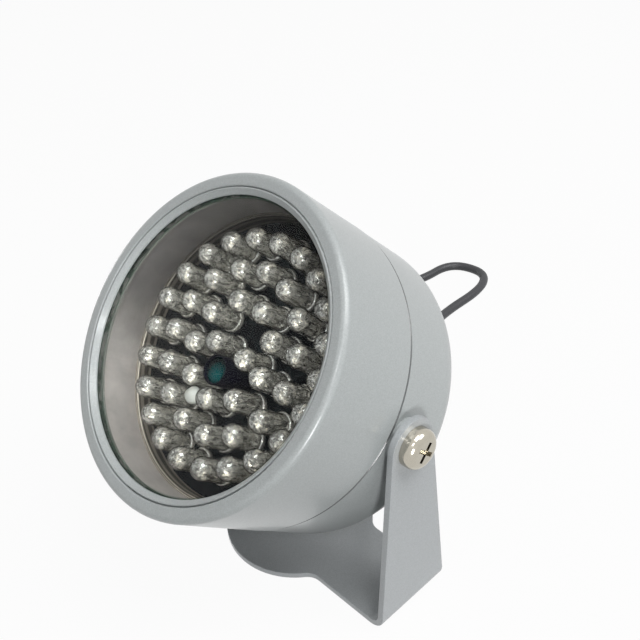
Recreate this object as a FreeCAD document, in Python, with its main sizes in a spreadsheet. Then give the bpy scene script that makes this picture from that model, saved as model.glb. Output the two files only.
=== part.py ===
import FreeCAD, Part
import math
import os
import Sketcher

# Infrared illuminator: a round lamp head with 48 clear emitters, tilting in a folded U bracket.
# Millimetres. +Z is up and the head looks towards -Y. The origin is the centre of the
# bracket's round foot, on its underside.
#
# The head's pieces are drawn in the head's own frame: its Z runs along the head's axis
# towards the glass, its X is the tilt axis, and its origin is on that axis.

doc = FreeCAD.newDocument("infrared_illuminator")
sheet = doc.addObject("Spreadsheet::Sheet", "Sizes")

# Driving dimensions
DIMENSIONS = {
    # bracket
    "sheet_thickness": 1.5,
    "bend_inside": 2.6,
    "foot_radius": 18.3,
    "foot_blend": 4.0,
    "strip_half_width": 10.0,
    "arm_top_radius": 5.9,
    "pivot_height": 46.7,
    "foot_hole_radius": 2.1,
    "foot_hole_spacing": 10.0,
    # how the head stands in the bracket
    "head_tilt": 42.0,
    "washer_play": 0.1,
    "hinge_clearance": 0.08,
    # front barrel
    "barrel_wall": 3.1,
    "barrel_taper": 0.2,
    "rim_round": 1.3,
    "seam_plane": 5.0,
    "seam_chamfer": 0.3,
    "seam_gap": 0.25,
    "seam_depth": 0.8,
    "seam_edge": 0.12,
    # rear cup
    "cup_step": 0.3,
    "cup_draft": 0.3,
    "cup_back": 17.5,
    "cup_back_round": 6.5,
    "cup_inner_round": 4.5,
    "cup_back_wall": 2.4,
    "spigot_wall": 1.9,
    "spigot_reach": 3.85,
    "fit_gap": 0.1,
    # seal round the spigot
    "seal_section": 1.0,
    "seal_groove_width": 1.4,
    "seal_set": 2.4,
    # pivot bosses, washers and screws
    "boss_margin": 0.4,
    "boss_rise": 0.6,
    "boss_depth": 8.0,
    "screw_radius": 2.0,
    "screw_thread_gap": 0.04,
    "screw_length": 8.5,
    "screw_head_radius": 4.3,
    "screw_head_height": 3.0,
    "screw_head_round": 1.8,
    "recess_arm": 2.2,
    "recess_web": 0.9,
    "recess_depth": 1.7,
    "washer_thickness": 0.5,
    # glass and what holds it
    "ring_recess": 0.2,
    "ring_width": 1.35,
    "ring_thickness": 1.3,
    "ring_chamfer": 0.95,
    "glass_thickness": 2.0,
    "gasket_thickness": 0.8,
    "gasket_width": 1.3,
    "sleeve_wall": 0.7,
    "sleeve_length": 9.3,
    "clamp_ring_thickness": 3.75,
    "clamp_ring_width": 1.5,
    "clamp_ring_round": 0.7,
    # emitter board
    "board_thickness": 1.6,
    "board_margin": 3.3,
    "led_radius": 2.5,
    "led_collar_step": 0.4,
    "led_collar_height": 1.0,
    "led_height": 9.2,
    "led_crown_flat": 0.2,
    "outer_ring_gap": 0.75,
    "outer_ring_count": 22,
    "outer_ring_phase": 123.6,
    "second_ring_gap": 1.0,
    "second_ring_count": 15,
    "second_ring_phase": 115.0,
    "third_ring_gap": 0.1,
    "third_ring_count": 9,
    "third_ring_phase": 110.9,
    "centre_gap": 0.45,
    "centre_pair_phase": 178.5,
    # light sensor and glue
    "sensor_phase": 275.0,
    "sensor_tube_radius": 3.15,
    "sensor_tube_wall": 0.5,
    "sensor_tube_height": 8.95,
    "sensor_cell_height": 7.8,
    "cell_crown": 0.9,
    "cell_gap": 0.05,
    "dab_phase": 248.4,
    "dab_step": 2.8,
    "dab_radius": 1.5,
    "dab_height": 7.2,
    # electronics behind the board
    "chip_x": 0.0,
    "chip_y": 9.0,
    "chip_length": 5.0,
    "chip_width": 4.0,
    "chip_height": 1.5,
    "transistor_x": -13.0,
    "transistor_y": 12.0,
    "transistor_length": 10.0,
    "transistor_width": 6.5,
    "transistor_height": 2.4,
    "resistor_y": -15.0,
    "resistor_length": 3.2,
    "resistor_width": 1.6,
    "resistor_height": 0.6,
    "resistor_count": 8,
    "resistor_pitch": 5.0,
    "capacitor_x": 13.0,
    "capacitor_y": 11.0,
    "capacitor_radius": 3.15,
    "capacitor_round": 0.6,
    "capacitor_height": 7.0,
    "header_x": 8.0,
    "header_y": -5.0,
    "header_pitch": 2.5,
    "header_length": 5.8,
    "header_width": 8.0,
    "header_height": 6.0,
    # cable and socket
    "cord_radius": 1.5,
    "cord_seat": 0.05,
    "grommet_hole": 3.4,
    "grommet_flange_over": 1.8,
    "grommet_flange": 1.6,
    "grommet_lip_over": 1.0,
    "grommet_lip": 1.2,
    "boot_over": 0.2,
    "boot_tip_wall": 0.85,
    "boot_length": 6.5,
    "tail_inside": 5.2,
    "tail_outside": 39.0,
    "cord_gap": 0.3,
    "cord_first_run": 10.0,
    "tie_width": 2.2,
    "tie_thickness": 1.0,
    "tie_head": 3.6,
    "lead_radius": 0.6,
    "lead_run": 5.0,
    "lead_gap": 0.15,
    "socket_length": 24.0,
    "socket_round": 0.6,
    "socket_radius": 5.0,
    "socket_boot_length": 8.0,
    "socket_bore": 3.3,
    "socket_depth": 9.5,
    "socket_sleeve_wall": 0.3,
    "socket_pin_radius": 1.05,
    "socket_pin_set": 0.5,
}

for row, (alias, number) in enumerate(DIMENSIONS.items(), start=1):
    sheet.set("A%d" % row, alias)
    sheet.set("B%d" % row, str(number))
    sheet.setAlias("B%d" % row, alias)
doc.recompute()


class Term:
    """A length that knows its value and the sheet expression it comes from."""

    def __init__(self, number, text):
        self.number = number
        self.text = text

    def __add__(self, other):
        other = term(other)
        return Term(self.number + other.number, "(%s + %s)" % (self.text, other.text))

    def __sub__(self, other):
        other = term(other)
        return Term(self.number - other.number, "(%s - %s)" % (self.text, other.text))

    def __mul__(self, other):
        other = term(other)
        return Term(self.number * other.number, "(%s * %s)" % (self.text, other.text))

    def __truediv__(self, other):
        other = term(other)
        return Term(self.number / other.number, "(%s / %s)" % (self.text, other.text))

    def __neg__(self):
        return Term(-self.number, "(0 - %s)" % self.text)


def term(thing):
    """A plain number as a Term; a Term as itself."""
    return thing if isinstance(thing, Term) else Term(float(thing), repr(float(thing)))


def size(alias):
    """The sheet's cell of that alias."""
    return Term(float(sheet.get(alias)), "Sizes.%s" % alias)


def cosine(angle):
    return Term(math.cos(math.radians(angle.number)), "cos(%s * 1 deg)" % angle.text)


def sine(angle):
    return Term(math.sin(math.radians(angle.number)), "sin(%s * 1 deg)" % angle.text)


def bind(thing, path, value):
    """Tie one property of an object to the sheet."""
    thing.setExpression(path, value.text)


# Places along the head's axis from the tilt axis: each piece stands on the one behind it
spigot_top = size("seam_plane") + size("spigot_reach")
board_back = spigot_top
board_front = board_back + size("board_thickness")
clamp_top = board_front + size("clamp_ring_thickness")
gasket_back = clamp_top + size("sleeve_length")
glass_back = gasket_back + size("gasket_thickness")
glass_front = glass_back + size("glass_thickness")
ring_front = glass_front + size("ring_thickness")
barrel_front = ring_front + size("ring_recess")
back_face = -size("cup_back")
back_floor = back_face + size("cup_back_wall")
seal_plane = size("seam_plane") + size("seal_set")

# Radii about the head's axis: the emitters set the rings, and the housing goes round them
collar_radius = size("led_radius") + size("led_collar_step")
centre_radius = (size("sensor_tube_radius") + collar_radius + size("centre_gap")) / math.sqrt(2)
third_ring_radius = (centre_radius + size("sensor_tube_radius") + collar_radius
                     + size("third_ring_gap"))
second_ring_radius = third_ring_radius + collar_radius * 2 + size("second_ring_gap")
outer_ring_radius = second_ring_radius + collar_radius * 2 + size("outer_ring_gap")
clamp_bore = outer_ring_radius + collar_radius + size("board_margin")
seated_radius = clamp_bore + size("clamp_ring_width")
barrel_bore = seated_radius + size("fit_gap")
barrel_radius = barrel_bore + size("barrel_wall")
cup_radius = barrel_radius - size("cup_step")
cavity_radius = seated_radius - size("spigot_wall")
ring_bore = seated_radius - size("ring_width")

# Places across the bracket, from its middle plane
boss_face = cup_radius + size("boss_rise")
boss_radius = size("seam_plane") - size("boss_margin")
arm_inside = boss_face + size("washer_thickness") + size("washer_play")
arm_outside = arm_inside + size("sheet_thickness")


def origin_part(body, role):
    """One of the body's own origin planes or axes."""
    return [item for item in body.Origin.OriginFeatures if item.Role == role][0]


def new_body(name):
    body = doc.addObject("PartDesign::Body", name)
    body.Label = name
    body.AllowCompound = True
    return body


def new_sketch(body, name, role):
    sketch = body.newObject("Sketcher::SketchObject", name)
    sketch.AttachmentSupport = [(origin_part(body, role), "")]
    sketch.MapMode = "FlatFace"
    return sketch


def fix_point(sketch, geometry, end, x, y):
    """Hold one end of a line or one centre at a place given by two Terms."""
    for kind, value in (("DistanceX", x), ("DistanceY", y)):
        constraint = Sketcher.Constraint(kind, -1, 1, geometry, end, value.number)
        index = sketch.addConstraint(constraint)
        sketch.setExpression("Constraints[%d]" % index, value.text)


def add_outline(sketch, corners):
    """A closed outline of straight lines through corners given as pairs of lengths."""
    corners = [(term(x), term(y)) for x, y in corners]
    points = [FreeCAD.Vector(x.number, y.number, 0) for x, y in corners]
    first = sketch.GeometryCount
    count = len(points)
    for i in range(count):
        sketch.addGeometry(Part.LineSegment(points[i], points[(i + 1) % count]), False)
    for i in range(count):
        following = first + (i + 1) % count
        sketch.addConstraint(Sketcher.Constraint("Coincident", first + i, 2, following, 1))
    for i, (x, y) in enumerate(corners):
        fix_point(sketch, first + i, 1, x, y)


def add_circle(sketch, x, y, radius):
    """A circle with its centre and radius tied to the sheet."""
    x, y, radius = term(x), term(y), term(radius)
    centre = FreeCAD.Vector(x.number, y.number, 0)
    index = sketch.addGeometry(Part.Circle(centre, FreeCAD.Vector(0, 0, 1), radius.number), False)
    fix_point(sketch, index, 3, x, y)
    held = sketch.addConstraint(Sketcher.Constraint("Radius", index, radius.number))
    sketch.setExpression("Constraints[%d]" % held, radius.text)


def turn(body, name, corners, kind="PartDesign::Revolution"):
    """Turn an outline of (radius, height) corners round the body's Z axis."""
    sketch = new_sketch(body, name + "_outline", "XZ_Plane")
    add_outline(sketch, corners)
    feature = body.newObject(kind, name)
    feature.Profile = sketch
    feature.ReferenceAxis = (sketch, ["V_Axis"])
    feature.Angle = 360
    return feature


def push(body, name, sketch, kind, length=None, through=False, both=False, back=False):
    """Pad or pocket a sketch."""
    feature = body.newObject(kind, name)
    feature.Profile = sketch
    if through:
        feature.Type = "ThroughAll"
    else:
        bind(feature, "Length", length)
    if both:
        feature.Midplane = True
    feature.Reversed = back
    return feature


def soften(body, name, base, edges, radius, kind="PartDesign::Fillet"):
    """Round or chamfer chosen edges of a feature."""
    doc.recompute()
    names = ["Edge%d" % (i + 1) for i, edge in enumerate(base.Shape.Edges) if edges(edge)]
    if not names:
        raise ValueError("no edge found for " + name)
    feature = body.newObject(kind, name)
    feature.Base = (base, names)
    bind(feature, "Radius" if kind == "PartDesign::Fillet" else "Size", radius)
    return feature


def ring_edge(radius, height):
    """Picks the round edge about the Z axis with that radius and height."""
    def picked(edge):
        curve = edge.Curve
        if not isinstance(curve, Part.Circle):
            return False
        centre = curve.Center
        return (abs(curve.Radius - radius.number) < 0.01
                and abs(centre.z - height.number) < 0.01
                and math.hypot(centre.x, centre.y) < 0.01)
    return picked


def in_head(piece, along=None, x=None, y=None):
    """Place a piece drawn in the head's frame at the head's resting tilt.

    along, x and y shift it in that frame first: along the axis, across, and towards its top.
    """
    along, x, y = [term(0) if shift is None else shift for shift in (along, x, y)]
    tilt = size("head_tilt")
    piece.Placement = FreeCAD.Placement(
        FreeCAD.Vector(0, 0, 0), FreeCAD.Rotation(FreeCAD.Vector(1, 0, 0), 1.0))
    bind(piece, "Placement.Base.x", x)
    bind(piece, "Placement.Base.y", y * sine(tilt) - along * cosine(tilt))
    bind(piece, "Placement.Base.z", size("pivot_height") + y * cosine(tilt) + along * sine(tilt))
    bind(piece, "Placement.Rotation.Angle", term(90.0) - tilt)
    return piece


def head_placement():
    """The same place, for shapes that are set in code."""
    angle = 90.0 - size("head_tilt").number
    return FreeCAD.Placement(
        FreeCAD.Vector(0, 0, size("pivot_height").number),
        FreeCAD.Rotation(FreeCAD.Vector(1, 0, 0), angle))


# Bracket: one strip of sheet metal, bent up into two arms, with a round foot in the middle
bend_outside = size("bend_inside") + size("sheet_thickness")
bracket_top = size("pivot_height") + size("arm_top_radius") + size("sheet_thickness")
plan_reach = size("foot_radius") + size("sheet_thickness")


def fold_channel(body):
    """The strip and both arms as one channel, with its two bends rounded."""
    thickness = size("sheet_thickness")
    sketch = new_sketch(body, "channel_outline", "XZ_Plane")
    add_outline(sketch, [
        (-arm_outside, 0), (arm_outside, 0), (arm_outside, bracket_top),
        (arm_inside, bracket_top), (arm_inside, thickness), (-arm_inside, thickness),
        (-arm_inside, bracket_top), (-arm_outside, bracket_top)])
    width = plan_reach * 2
    channel = push(body, "channel", sketch, "PartDesign::Pad", width, both=True)

    def bend_edge(x, z):
        def picked(edge):
            if abs(edge.BoundBox.YLength - width.number) > 0.01:
                return False
            middle = edge.CenterOfMass
            return abs(abs(middle.x) - x.number) < 0.01 and abs(middle.z - z.number) < 0.01
        return picked
    channel = soften(body, "bends_inside", channel, bend_edge(arm_inside, thickness),
                     size("bend_inside"))
    soften(body, "bends_outside", channel, bend_edge(arm_outside, term(0)), bend_outside)


def cut_plan(body):
    """Trim the channel from above to the strip's width and the round foot."""
    sketch = new_sketch(body, "plan_outline", "XY_Plane")
    half = size("strip_half_width")
    foot = size("foot_radius")
    far = arm_outside + size("sheet_thickness")
    wide = plan_reach + size("sheet_thickness")
    meet = Term(math.sqrt(foot.number ** 2 - half.number ** 2),
                "sqrt(%s ^ 2 - %s ^ 2)" % (foot.text, half.text))
    for side in (1, -1):
        first = sketch.GeometryCount
        path = [(-far, half * side), (-meet, half * side), (meet, half * side),
                (far, half * side), (far, wide * side), (-far, wide * side)]
        points = [FreeCAD.Vector(x.number, y.number, 0) for x, y in path]
        crown = FreeCAD.Vector(0, foot.number * side, 0)
        sketch.addGeometry(Part.LineSegment(points[0], points[1]), False)
        sketch.addGeometry(Part.Arc(points[1], crown, points[2]), False)
        for start, end in ((2, 3), (3, 4), (4, 5), (5, 0)):
            sketch.addGeometry(Part.LineSegment(points[start], points[end]), False)
        arc_start, arc_end = (2, 1) if side == 1 else (1, 2)
        links = [((0, 2), (1, arc_start)), ((1, arc_end), (2, 1)), ((2, 2), (3, 1)),
                 ((3, 2), (4, 1)), ((4, 2), (5, 1)), ((5, 2), (0, 1))]
        for (a, a_end), (b, b_end) in links:
            sketch.addConstraint(Sketcher.Constraint(
                "Coincident", first + a, a_end, first + b, b_end))
        held_ends = [(0, 1), (0, 2), (2, 1), (3, 1), (4, 1), (5, 1)]
        for (geometry, end), (x, y) in zip(held_ends, path):
            fix_point(sketch, first + geometry, end, x, y)
        held = sketch.addConstraint(Sketcher.Constraint("Radius", first + 1, foot.number))
        sketch.setExpression("Constraints[%d]" % held, foot.text)
    doc.recompute()
    push(body, "plan_cut", sketch, "PartDesign::Pocket", through=True, back=True)
    return meet


def cut_arms(body):
    """Trim the arms from the side: they narrow to a round top about the pivot."""
    sketch = new_sketch(body, "arm_outline", "YZ_Plane")
    half = size("strip_half_width")
    low = bend_outside
    high = size("pivot_height")
    top = size("arm_top_radius")
    wide = plan_reach + size("sheet_thickness")
    above = bracket_top + size("sheet_thickness")

    # where the leaning edge meets the round top, as an angle up from straight down
    rise = (high - low).number
    meeting = (math.atan2(half.number, rise)
               + math.acos(top.number / math.hypot(rise, half.number)))
    touch_y = top.number * math.sin(meeting)
    touch_z = high.number - top.number * math.cos(meeting)
    start = FreeCAD.Vector(half.number, low.number, 0)
    start_left = FreeCAD.Vector(-half.number, low.number, 0)
    touch = FreeCAD.Vector(touch_y, touch_z, 0)
    touch_left = FreeCAD.Vector(-touch_y, touch_z, 0)
    crown = FreeCAD.Vector(0, (high + top).number, 0)
    sketch.addGeometry(Part.LineSegment(start, touch), False)
    sketch.addGeometry(Part.Arc(touch, crown, touch_left), False)
    sketch.addGeometry(Part.LineSegment(touch_left, start_left), False)

    frame = [(-half, low), (-wide, low), (-wide, above), (wide, above), (wide, low), (half, low)]
    points = [FreeCAD.Vector(x.number, z.number, 0) for x, z in frame]
    for i in range(5):
        sketch.addGeometry(Part.LineSegment(points[i], points[i + 1]), False)
    for i in range(2, 7):
        sketch.addConstraint(Sketcher.Constraint("Coincident", i, 2, i + 1, 1))
    sketch.addConstraint(Sketcher.Constraint("Coincident", 7, 2, 0, 1))
    sketch.addConstraint(Sketcher.Constraint("Tangent", 0, 2, 1, 1))
    sketch.addConstraint(Sketcher.Constraint("Tangent", 1, 2, 2, 1))
    for i, (x, z) in enumerate(frame[:5]):
        fix_point(sketch, 3 + i, 1, x, z)
    fix_point(sketch, 0, 1, half, low)
    fix_point(sketch, 1, 3, term(0), high)
    held = sketch.addConstraint(Sketcher.Constraint("Radius", 1, top.number))
    sketch.setExpression("Constraints[%d]" % held, top.text)
    doc.recompute()
    push(body, "arm_cut", sketch, "PartDesign::Pocket", through=True, both=True)


def drill_bracket(body):
    """Pivot holes through both arms and the foot's two screw holes."""
    pivots = new_sketch(body, "pivot_hole_outline", "YZ_Plane")
    add_circle(pivots, 0, size("pivot_height"), size("screw_radius") + size("hinge_clearance"))
    doc.recompute()
    push(body, "pivot_holes", pivots, "PartDesign::Pocket", through=True, both=True)
    holes = new_sketch(body, "foot_hole_outline", "XY_Plane")
    for side in (-1, 1):
        add_circle(holes, size("foot_hole_spacing") * (side * 0.5), 0, size("foot_hole_radius"))
    doc.recompute()
    return push(body, "foot_holes", holes, "PartDesign::Pocket", through=True, back=True)


def make_bracket():
    body = new_body("bracket")
    fold_channel(body)
    meet = cut_plan(body)
    cut_arms(body)
    drilled = drill_bracket(body)
    half = size("strip_half_width")

    def foot_corner(edge):
        middle = edge.CenterOfMass
        return (edge.BoundBox.XLength < 0.01 and edge.BoundBox.YLength < 0.01
                and abs(abs(middle.x) - meet.number) < 0.05
                and abs(abs(middle.y) - half.number) < 0.05)
    soften(body, "foot_blends", drilled, foot_corner, size("foot_blend"))


# Front barrel: the tube round the emitters, with a rounded front rim and a shadow gap at the seam
def make_front_barrel():
    body = new_body("front_barrel")
    rear_radius = barrel_radius - size("barrel_taper")
    seam_top = size("seam_plane") + size("seam_gap")
    wall = turn(body, "barrel_wall", [
        (barrel_bore, size("seam_plane")),
        (rear_radius - size("seam_depth"), size("seam_plane")),
        (rear_radius - size("seam_depth"), seam_top), (rear_radius, seam_top),
        (barrel_radius, barrel_front), (barrel_bore, barrel_front)])
    rim = soften(body, "rim_outer_round", wall,
                 ring_edge(barrel_radius, barrel_front), size("rim_round"))
    rim = soften(body, "rim_inner_round", rim,
                 ring_edge(barrel_bore, barrel_front), size("seam_chamfer"))
    soften(body, "seam_edge", rim, ring_edge(rear_radius, seam_top),
           size("seam_edge"), "PartDesign::Chamfer")
    return in_head(body)


# Rear cup: the back shell, its spigot goes inside the barrel and carries the board
def make_rear_cup():
    body = new_body("rear_cup")
    back_radius = cup_radius - size("cup_draft")
    shell = turn(body, "cup_shell", [
        (size("grommet_hole"), back_face), (back_radius, back_face),
        (cup_radius, size("seam_plane")), (seated_radius, size("seam_plane")),
        (seated_radius, spigot_top), (cavity_radius, spigot_top),
        (cavity_radius, back_floor), (size("grommet_hole"), back_floor)])
    shell = soften(body, "back_round", shell, ring_edge(back_radius, back_face),
                   size("cup_back_round"))
    shell = soften(body, "floor_round", shell, ring_edge(cavity_radius, back_floor),
                   size("cup_inner_round"))
    shell = soften(body, "seam_edge", shell, ring_edge(cup_radius, size("seam_plane")),
                   size("seam_chamfer"), "PartDesign::Chamfer")

    groove_floor = seated_radius - size("seal_section") + size("fit_gap") / 2
    half = size("seal_groove_width") / 2
    turn(body, "seal_groove",
         ring_corners(groove_floor, barrel_bore, seal_plane - half, seal_plane + half),
         "PartDesign::Groove")

    # the two bosses that take the pivot screws: flat faces outside, thread depth inside
    for name, side in (("right", 1), ("left", -1)):
        section = new_sketch(body, name + "_boss_outline", "YZ_Plane")
        bind(section, "AttachmentOffset.Base.z", boss_face * side)
        add_circle(section, 0, 0, boss_radius)
        doc.recompute()
        push(body, name + "_boss", section, "PartDesign::Pad", size("boss_depth"), back=side == 1)
    threads = new_sketch(body, "thread_outline", "YZ_Plane")
    add_circle(threads, 0, 0, size("screw_radius") + size("screw_thread_gap"))
    doc.recompute()
    push(body, "threads", threads, "PartDesign::Pocket", through=True, both=True)
    return in_head(body)


def turned_piece(name, corners, rounds=()):
    """A ring or disc about the head's axis, with some of its round edges softened."""
    body = new_body(name)
    last = turn(body, name + "_turned", corners)
    for i, (radius, height, amount, kind) in enumerate(rounds):
        last = soften(body, "%s_edge_%d" % (name, i), last, ring_edge(radius, height), amount, kind)
    return in_head(body)


def ring_corners(inner, outer, low, high):
    return [(inner, low), (outer, low), (outer, high), (inner, high)]


# What is stacked in the barrel: retaining ring, glass, gasket, sleeve, clamp ring, board
def make_stack():
    turned_piece(
        "glass_ring",
        ring_corners(ring_bore, seated_radius, glass_front, ring_front),
        [(ring_bore, ring_front, size("ring_chamfer"), "PartDesign::Chamfer"),
         (seated_radius, ring_front, size("seam_chamfer"), "PartDesign::Fillet")])
    turned_piece("front_glass", [
        (0, glass_back), (seated_radius, glass_back), (seated_radius, glass_front), (0, glass_front)])
    turned_piece("glass_gasket", ring_corners(
        seated_radius - size("gasket_width"), seated_radius, gasket_back, glass_back))
    turned_piece("inner_sleeve", ring_corners(
        seated_radius - size("sleeve_wall"), seated_radius, clamp_top, gasket_back))
    turned_piece(
        "board_clamp_ring",
        ring_corners(clamp_bore, seated_radius, board_front, clamp_top),
        [(clamp_bore, clamp_top, size("clamp_ring_round"), "PartDesign::Fillet")])
    turned_piece("led_board", [
        (0, board_back), (seated_radius, board_back), (seated_radius, board_front), (0, board_front)])


def turned_off_axis(body, name, x, y, low, corners, kind="PartDesign::Revolution"):
    """Turn an outline about an upright axis at x, y, with its foot at the height low."""
    sketch = new_sketch(body, name + "_outline", "XZ_Plane")
    sketch.AttachmentOffset = FreeCAD.Placement(
        FreeCAD.Vector(term(x).number, term(low).number, -term(y).number), FreeCAD.Rotation())
    bind(sketch, "AttachmentOffset.Base.x", term(x))
    bind(sketch, "AttachmentOffset.Base.y", term(low))
    bind(sketch, "AttachmentOffset.Base.z", -term(y))
    add_outline(sketch, corners)
    feature = body.newObject(kind, name)
    feature.Profile = sketch
    feature.ReferenceAxis = (sketch, ["V_Axis"])
    feature.Angle = 360
    return feature


# Emitters: clear domed bodies on a collar, in rings that share one shape
def make_led_ring(name, radius, phase, count):
    body = new_body(name)
    lens = turned_off_axis(body, name + "_lens", radius * cosine(phase), radius * sine(phase),
                           board_front, [
        (0, 0), (collar_radius, 0), (collar_radius, size("led_collar_height")),
        (size("led_radius"), size("led_collar_height")),
        (size("led_radius"), size("led_height")), (0, size("led_height"))])
    doc.recompute()
    tip = board_front + size("led_height")

    def dome_edge(edge):
        curve = edge.Curve
        return (isinstance(curve, Part.Circle) and abs(curve.Radius - size("led_radius").number) < 0.01
                and abs(curve.Center.z - tip.number) < 0.01)
    dome = soften(body, name + "_dome", lens, dome_edge,
                  size("led_radius") - size("led_crown_flat"))
    pattern = body.newObject("PartDesign::PolarPattern", name + "_pattern")
    pattern.Originals = [lens, dome]
    pattern.Axis = (origin_part(body, "Z_Axis"), [""])
    pattern.Angle = 360
    bind(pattern, "Occurrences", count)
    body.Tip = pattern
    return in_head(body)


def make_led_rings():
    make_led_ring("leds_outer_ring", outer_ring_radius, size("outer_ring_phase"),
                  size("outer_ring_count"))
    make_led_ring("leds_second_ring", second_ring_radius, size("second_ring_phase"),
                  size("second_ring_count"))
    make_led_ring("leds_third_ring", third_ring_radius, size("third_ring_phase"),
                  size("third_ring_count"))
    make_led_ring("leds_centre_pair", centre_radius, size("centre_pair_phase"), term(2))


# Light sensor: a dark hood standing on the board with the photocell inside
def make_sensor():
    x = centre_radius * cosine(size("sensor_phase"))
    y = centre_radius * sine(size("sensor_phase"))
    outside = size("sensor_tube_radius")
    inside = outside - size("sensor_tube_wall")
    hood = new_body("sensor_hood")
    turned_off_axis(hood, "sensor_hood_wall", x, y, board_front,
                    ring_corners(inside, outside, term(0), size("sensor_tube_height")))
    in_head(hood)
    cell = new_body("sensor_cell")
    cell_radius = inside - size("cell_gap")
    turned_off_axis(cell, "sensor_cell_body", x, y, board_front, [
        (0, 0), (cell_radius, 0), (cell_radius, size("sensor_cell_height") - size("cell_crown")),
        (cell_radius / 2, size("sensor_cell_height")), (0, size("sensor_cell_height"))])
    in_head(cell)


def make_glue_dab():
    radius = size("dab_radius")
    height = size("dab_height")
    reach = third_ring_radius + size("dab_step")
    x = reach * cosine(size("dab_phase"))
    y = reach * sine(size("dab_phase"))
    body = new_body("silicone_dab")
    turned_off_axis(body, "dab_lump", x, y, board_front, [
        (0, 0), (radius * 0.8, 0), (radius * 0.8, height * 0.3), (radius, height * 0.7),
        (radius * 0.7, height * 0.93), (0, height)])
    in_head(body)


# Seal in the spigot's groove
def make_body_seal():
    seal = doc.addObject("Part::Torus", "body_seal")
    seal.Label = "body_seal"
    groove_floor = seated_radius - size("seal_section") + size("fit_gap") / 2
    bind(seal, "Radius1", groove_floor + size("seal_section") / 2 + size("fit_gap") / 4)
    bind(seal, "Radius2", size("seal_section") / 2)
    in_head(seal, seal_plane)


def turn_across(body, name, corners):
    """Turn an outline of (distance across, radius) corners round the tilt axis."""
    sketch = new_sketch(body, name + "_outline", "XZ_Plane")
    add_outline(sketch, corners)
    feature = body.newObject("PartDesign::Revolution", name)
    feature.Profile = sketch
    feature.ReferenceAxis = (sketch, ["H_Axis"])
    feature.Angle = 360
    return feature


def mirror_across(body, name, originals):
    """Repeat features on the other side of the middle plane."""
    mirrored = body.newObject("PartDesign::Mirrored", name)
    mirrored.Originals = originals
    mirrored.MirrorPlane = (origin_part(body, "YZ_Plane"), [""])
    body.Tip = mirrored


# Pivot screws: pan heads with a cross recess, their shanks are the hinge pins
def make_pivot_screws():
    body = new_body("pivot_screws")
    under_head = arm_outside + size("washer_play") / 2
    top = under_head + size("screw_head_height")
    tip = under_head - size("screw_length")
    head_radius = size("screw_head_radius")
    screw = turn_across(body, "screw", [
        (tip, 0), (tip, size("screw_radius")), (under_head, size("screw_radius")),
        (under_head, head_radius), (top, head_radius), (top, 0)])

    def crown_edge(edge):
        curve = edge.Curve
        return (isinstance(curve, Part.Circle) and abs(curve.Center.x - top.number) < 0.01
                and abs(curve.Radius - head_radius.number) < 0.01)
    crown = soften(body, "screw_crown", screw, crown_edge, size("screw_head_round"))
    recess = new_sketch(body, "recess_outline", "YZ_Plane")
    bind(recess, "AttachmentOffset.Base.z", top)
    arm = size("recess_arm")
    web = size("recess_web") / 2
    add_outline(recess, [
        (arm, -web), (arm, web), (web, web), (web, arm), (-web, arm), (-web, web),
        (-arm, web), (-arm, -web), (-web, -web), (-web, -arm), (web, -arm), (web, -web)])
    doc.recompute()
    cut = push(body, "screw_recess", recess, "PartDesign::Pocket", size("recess_depth"))
    mirror_across(body, "screw_pair", [screw, crown, cut])
    in_head(body)


def make_pivot_washers():
    body = new_body("pivot_washers")
    inner = size("screw_radius") + size("hinge_clearance")
    high = boss_face + size("washer_thickness")
    washer = turn_across(body, "washer", [
        (boss_face, inner), (high, inner), (high, boss_radius), (boss_face, boss_radius)])
    mirror_across(body, "washer_pair", [washer])
    in_head(body)


# Cable grommet in the cup's back, with a tapered boot outside and a lip inside
def make_grommet():
    inner = size("cord_radius") + size("cord_seat")
    hole = size("grommet_hole")
    neck = hole - size("fit_gap")
    flange = hole + size("grommet_flange_over")
    flange_face = back_face - size("grommet_flange")
    boot_tip = flange_face - size("boot_length")
    lip_face = back_floor + size("grommet_lip")
    turned_piece("cable_grommet", [
        (inner, boot_tip), (inner + size("boot_tip_wall"), boot_tip),
        (hole + size("boot_over"), flange_face), (flange, flange_face), (flange, back_face),
        (neck, back_face), (neck, back_floor), (hole + size("grommet_lip_over"), back_floor),
        (neck, lip_face), (inner, lip_face)])


def make_cable_tail():
    radius = size("cord_radius")
    low = -size("tail_outside")
    high = back_floor + size("tail_inside")
    turned_piece("cable_tail", [(0, low), (radius, low), (radius, high), (0, high)])


# Cable tie that stops the cable from pulling out: a band with its square head
def make_cable_tie():
    body = new_body("cable_tie")
    low = back_floor + size("grommet_lip") + size("fit_gap")
    inner = size("cord_radius") + size("cord_seat")
    outer = inner + size("tie_thickness")
    turn(body, "tie_band", ring_corners(inner, outer, low, low + size("tie_width")))
    block = new_sketch(body, "tie_head_outline", "XY_Plane")
    bind(block, "AttachmentOffset.Base.z", low)
    half = size("tie_head") / 2
    near = inner + size("tie_thickness") / 2
    add_outline(block, [(near, -half), (near + size("tie_head"), -half),
                        (near + size("tie_head"), half), (near, half)])
    doc.recompute()
    push(body, "tie_head_block", block, "PartDesign::Pad", size("tie_width"))
    in_head(body)


# Electronics on the back of the board
def make_block(name, x, y, length, width, height):
    """A box hanging under the board, with its middle at x, y in the head's frame."""
    block = doc.addObject("Part::Box", name)
    block.Label = name
    bind(block, "Length", length)
    bind(block, "Width", width)
    bind(block, "Height", height)
    low = board_back - height
    in_head(block, low, x - length / 2, y - width / 2)
    return block


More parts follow.
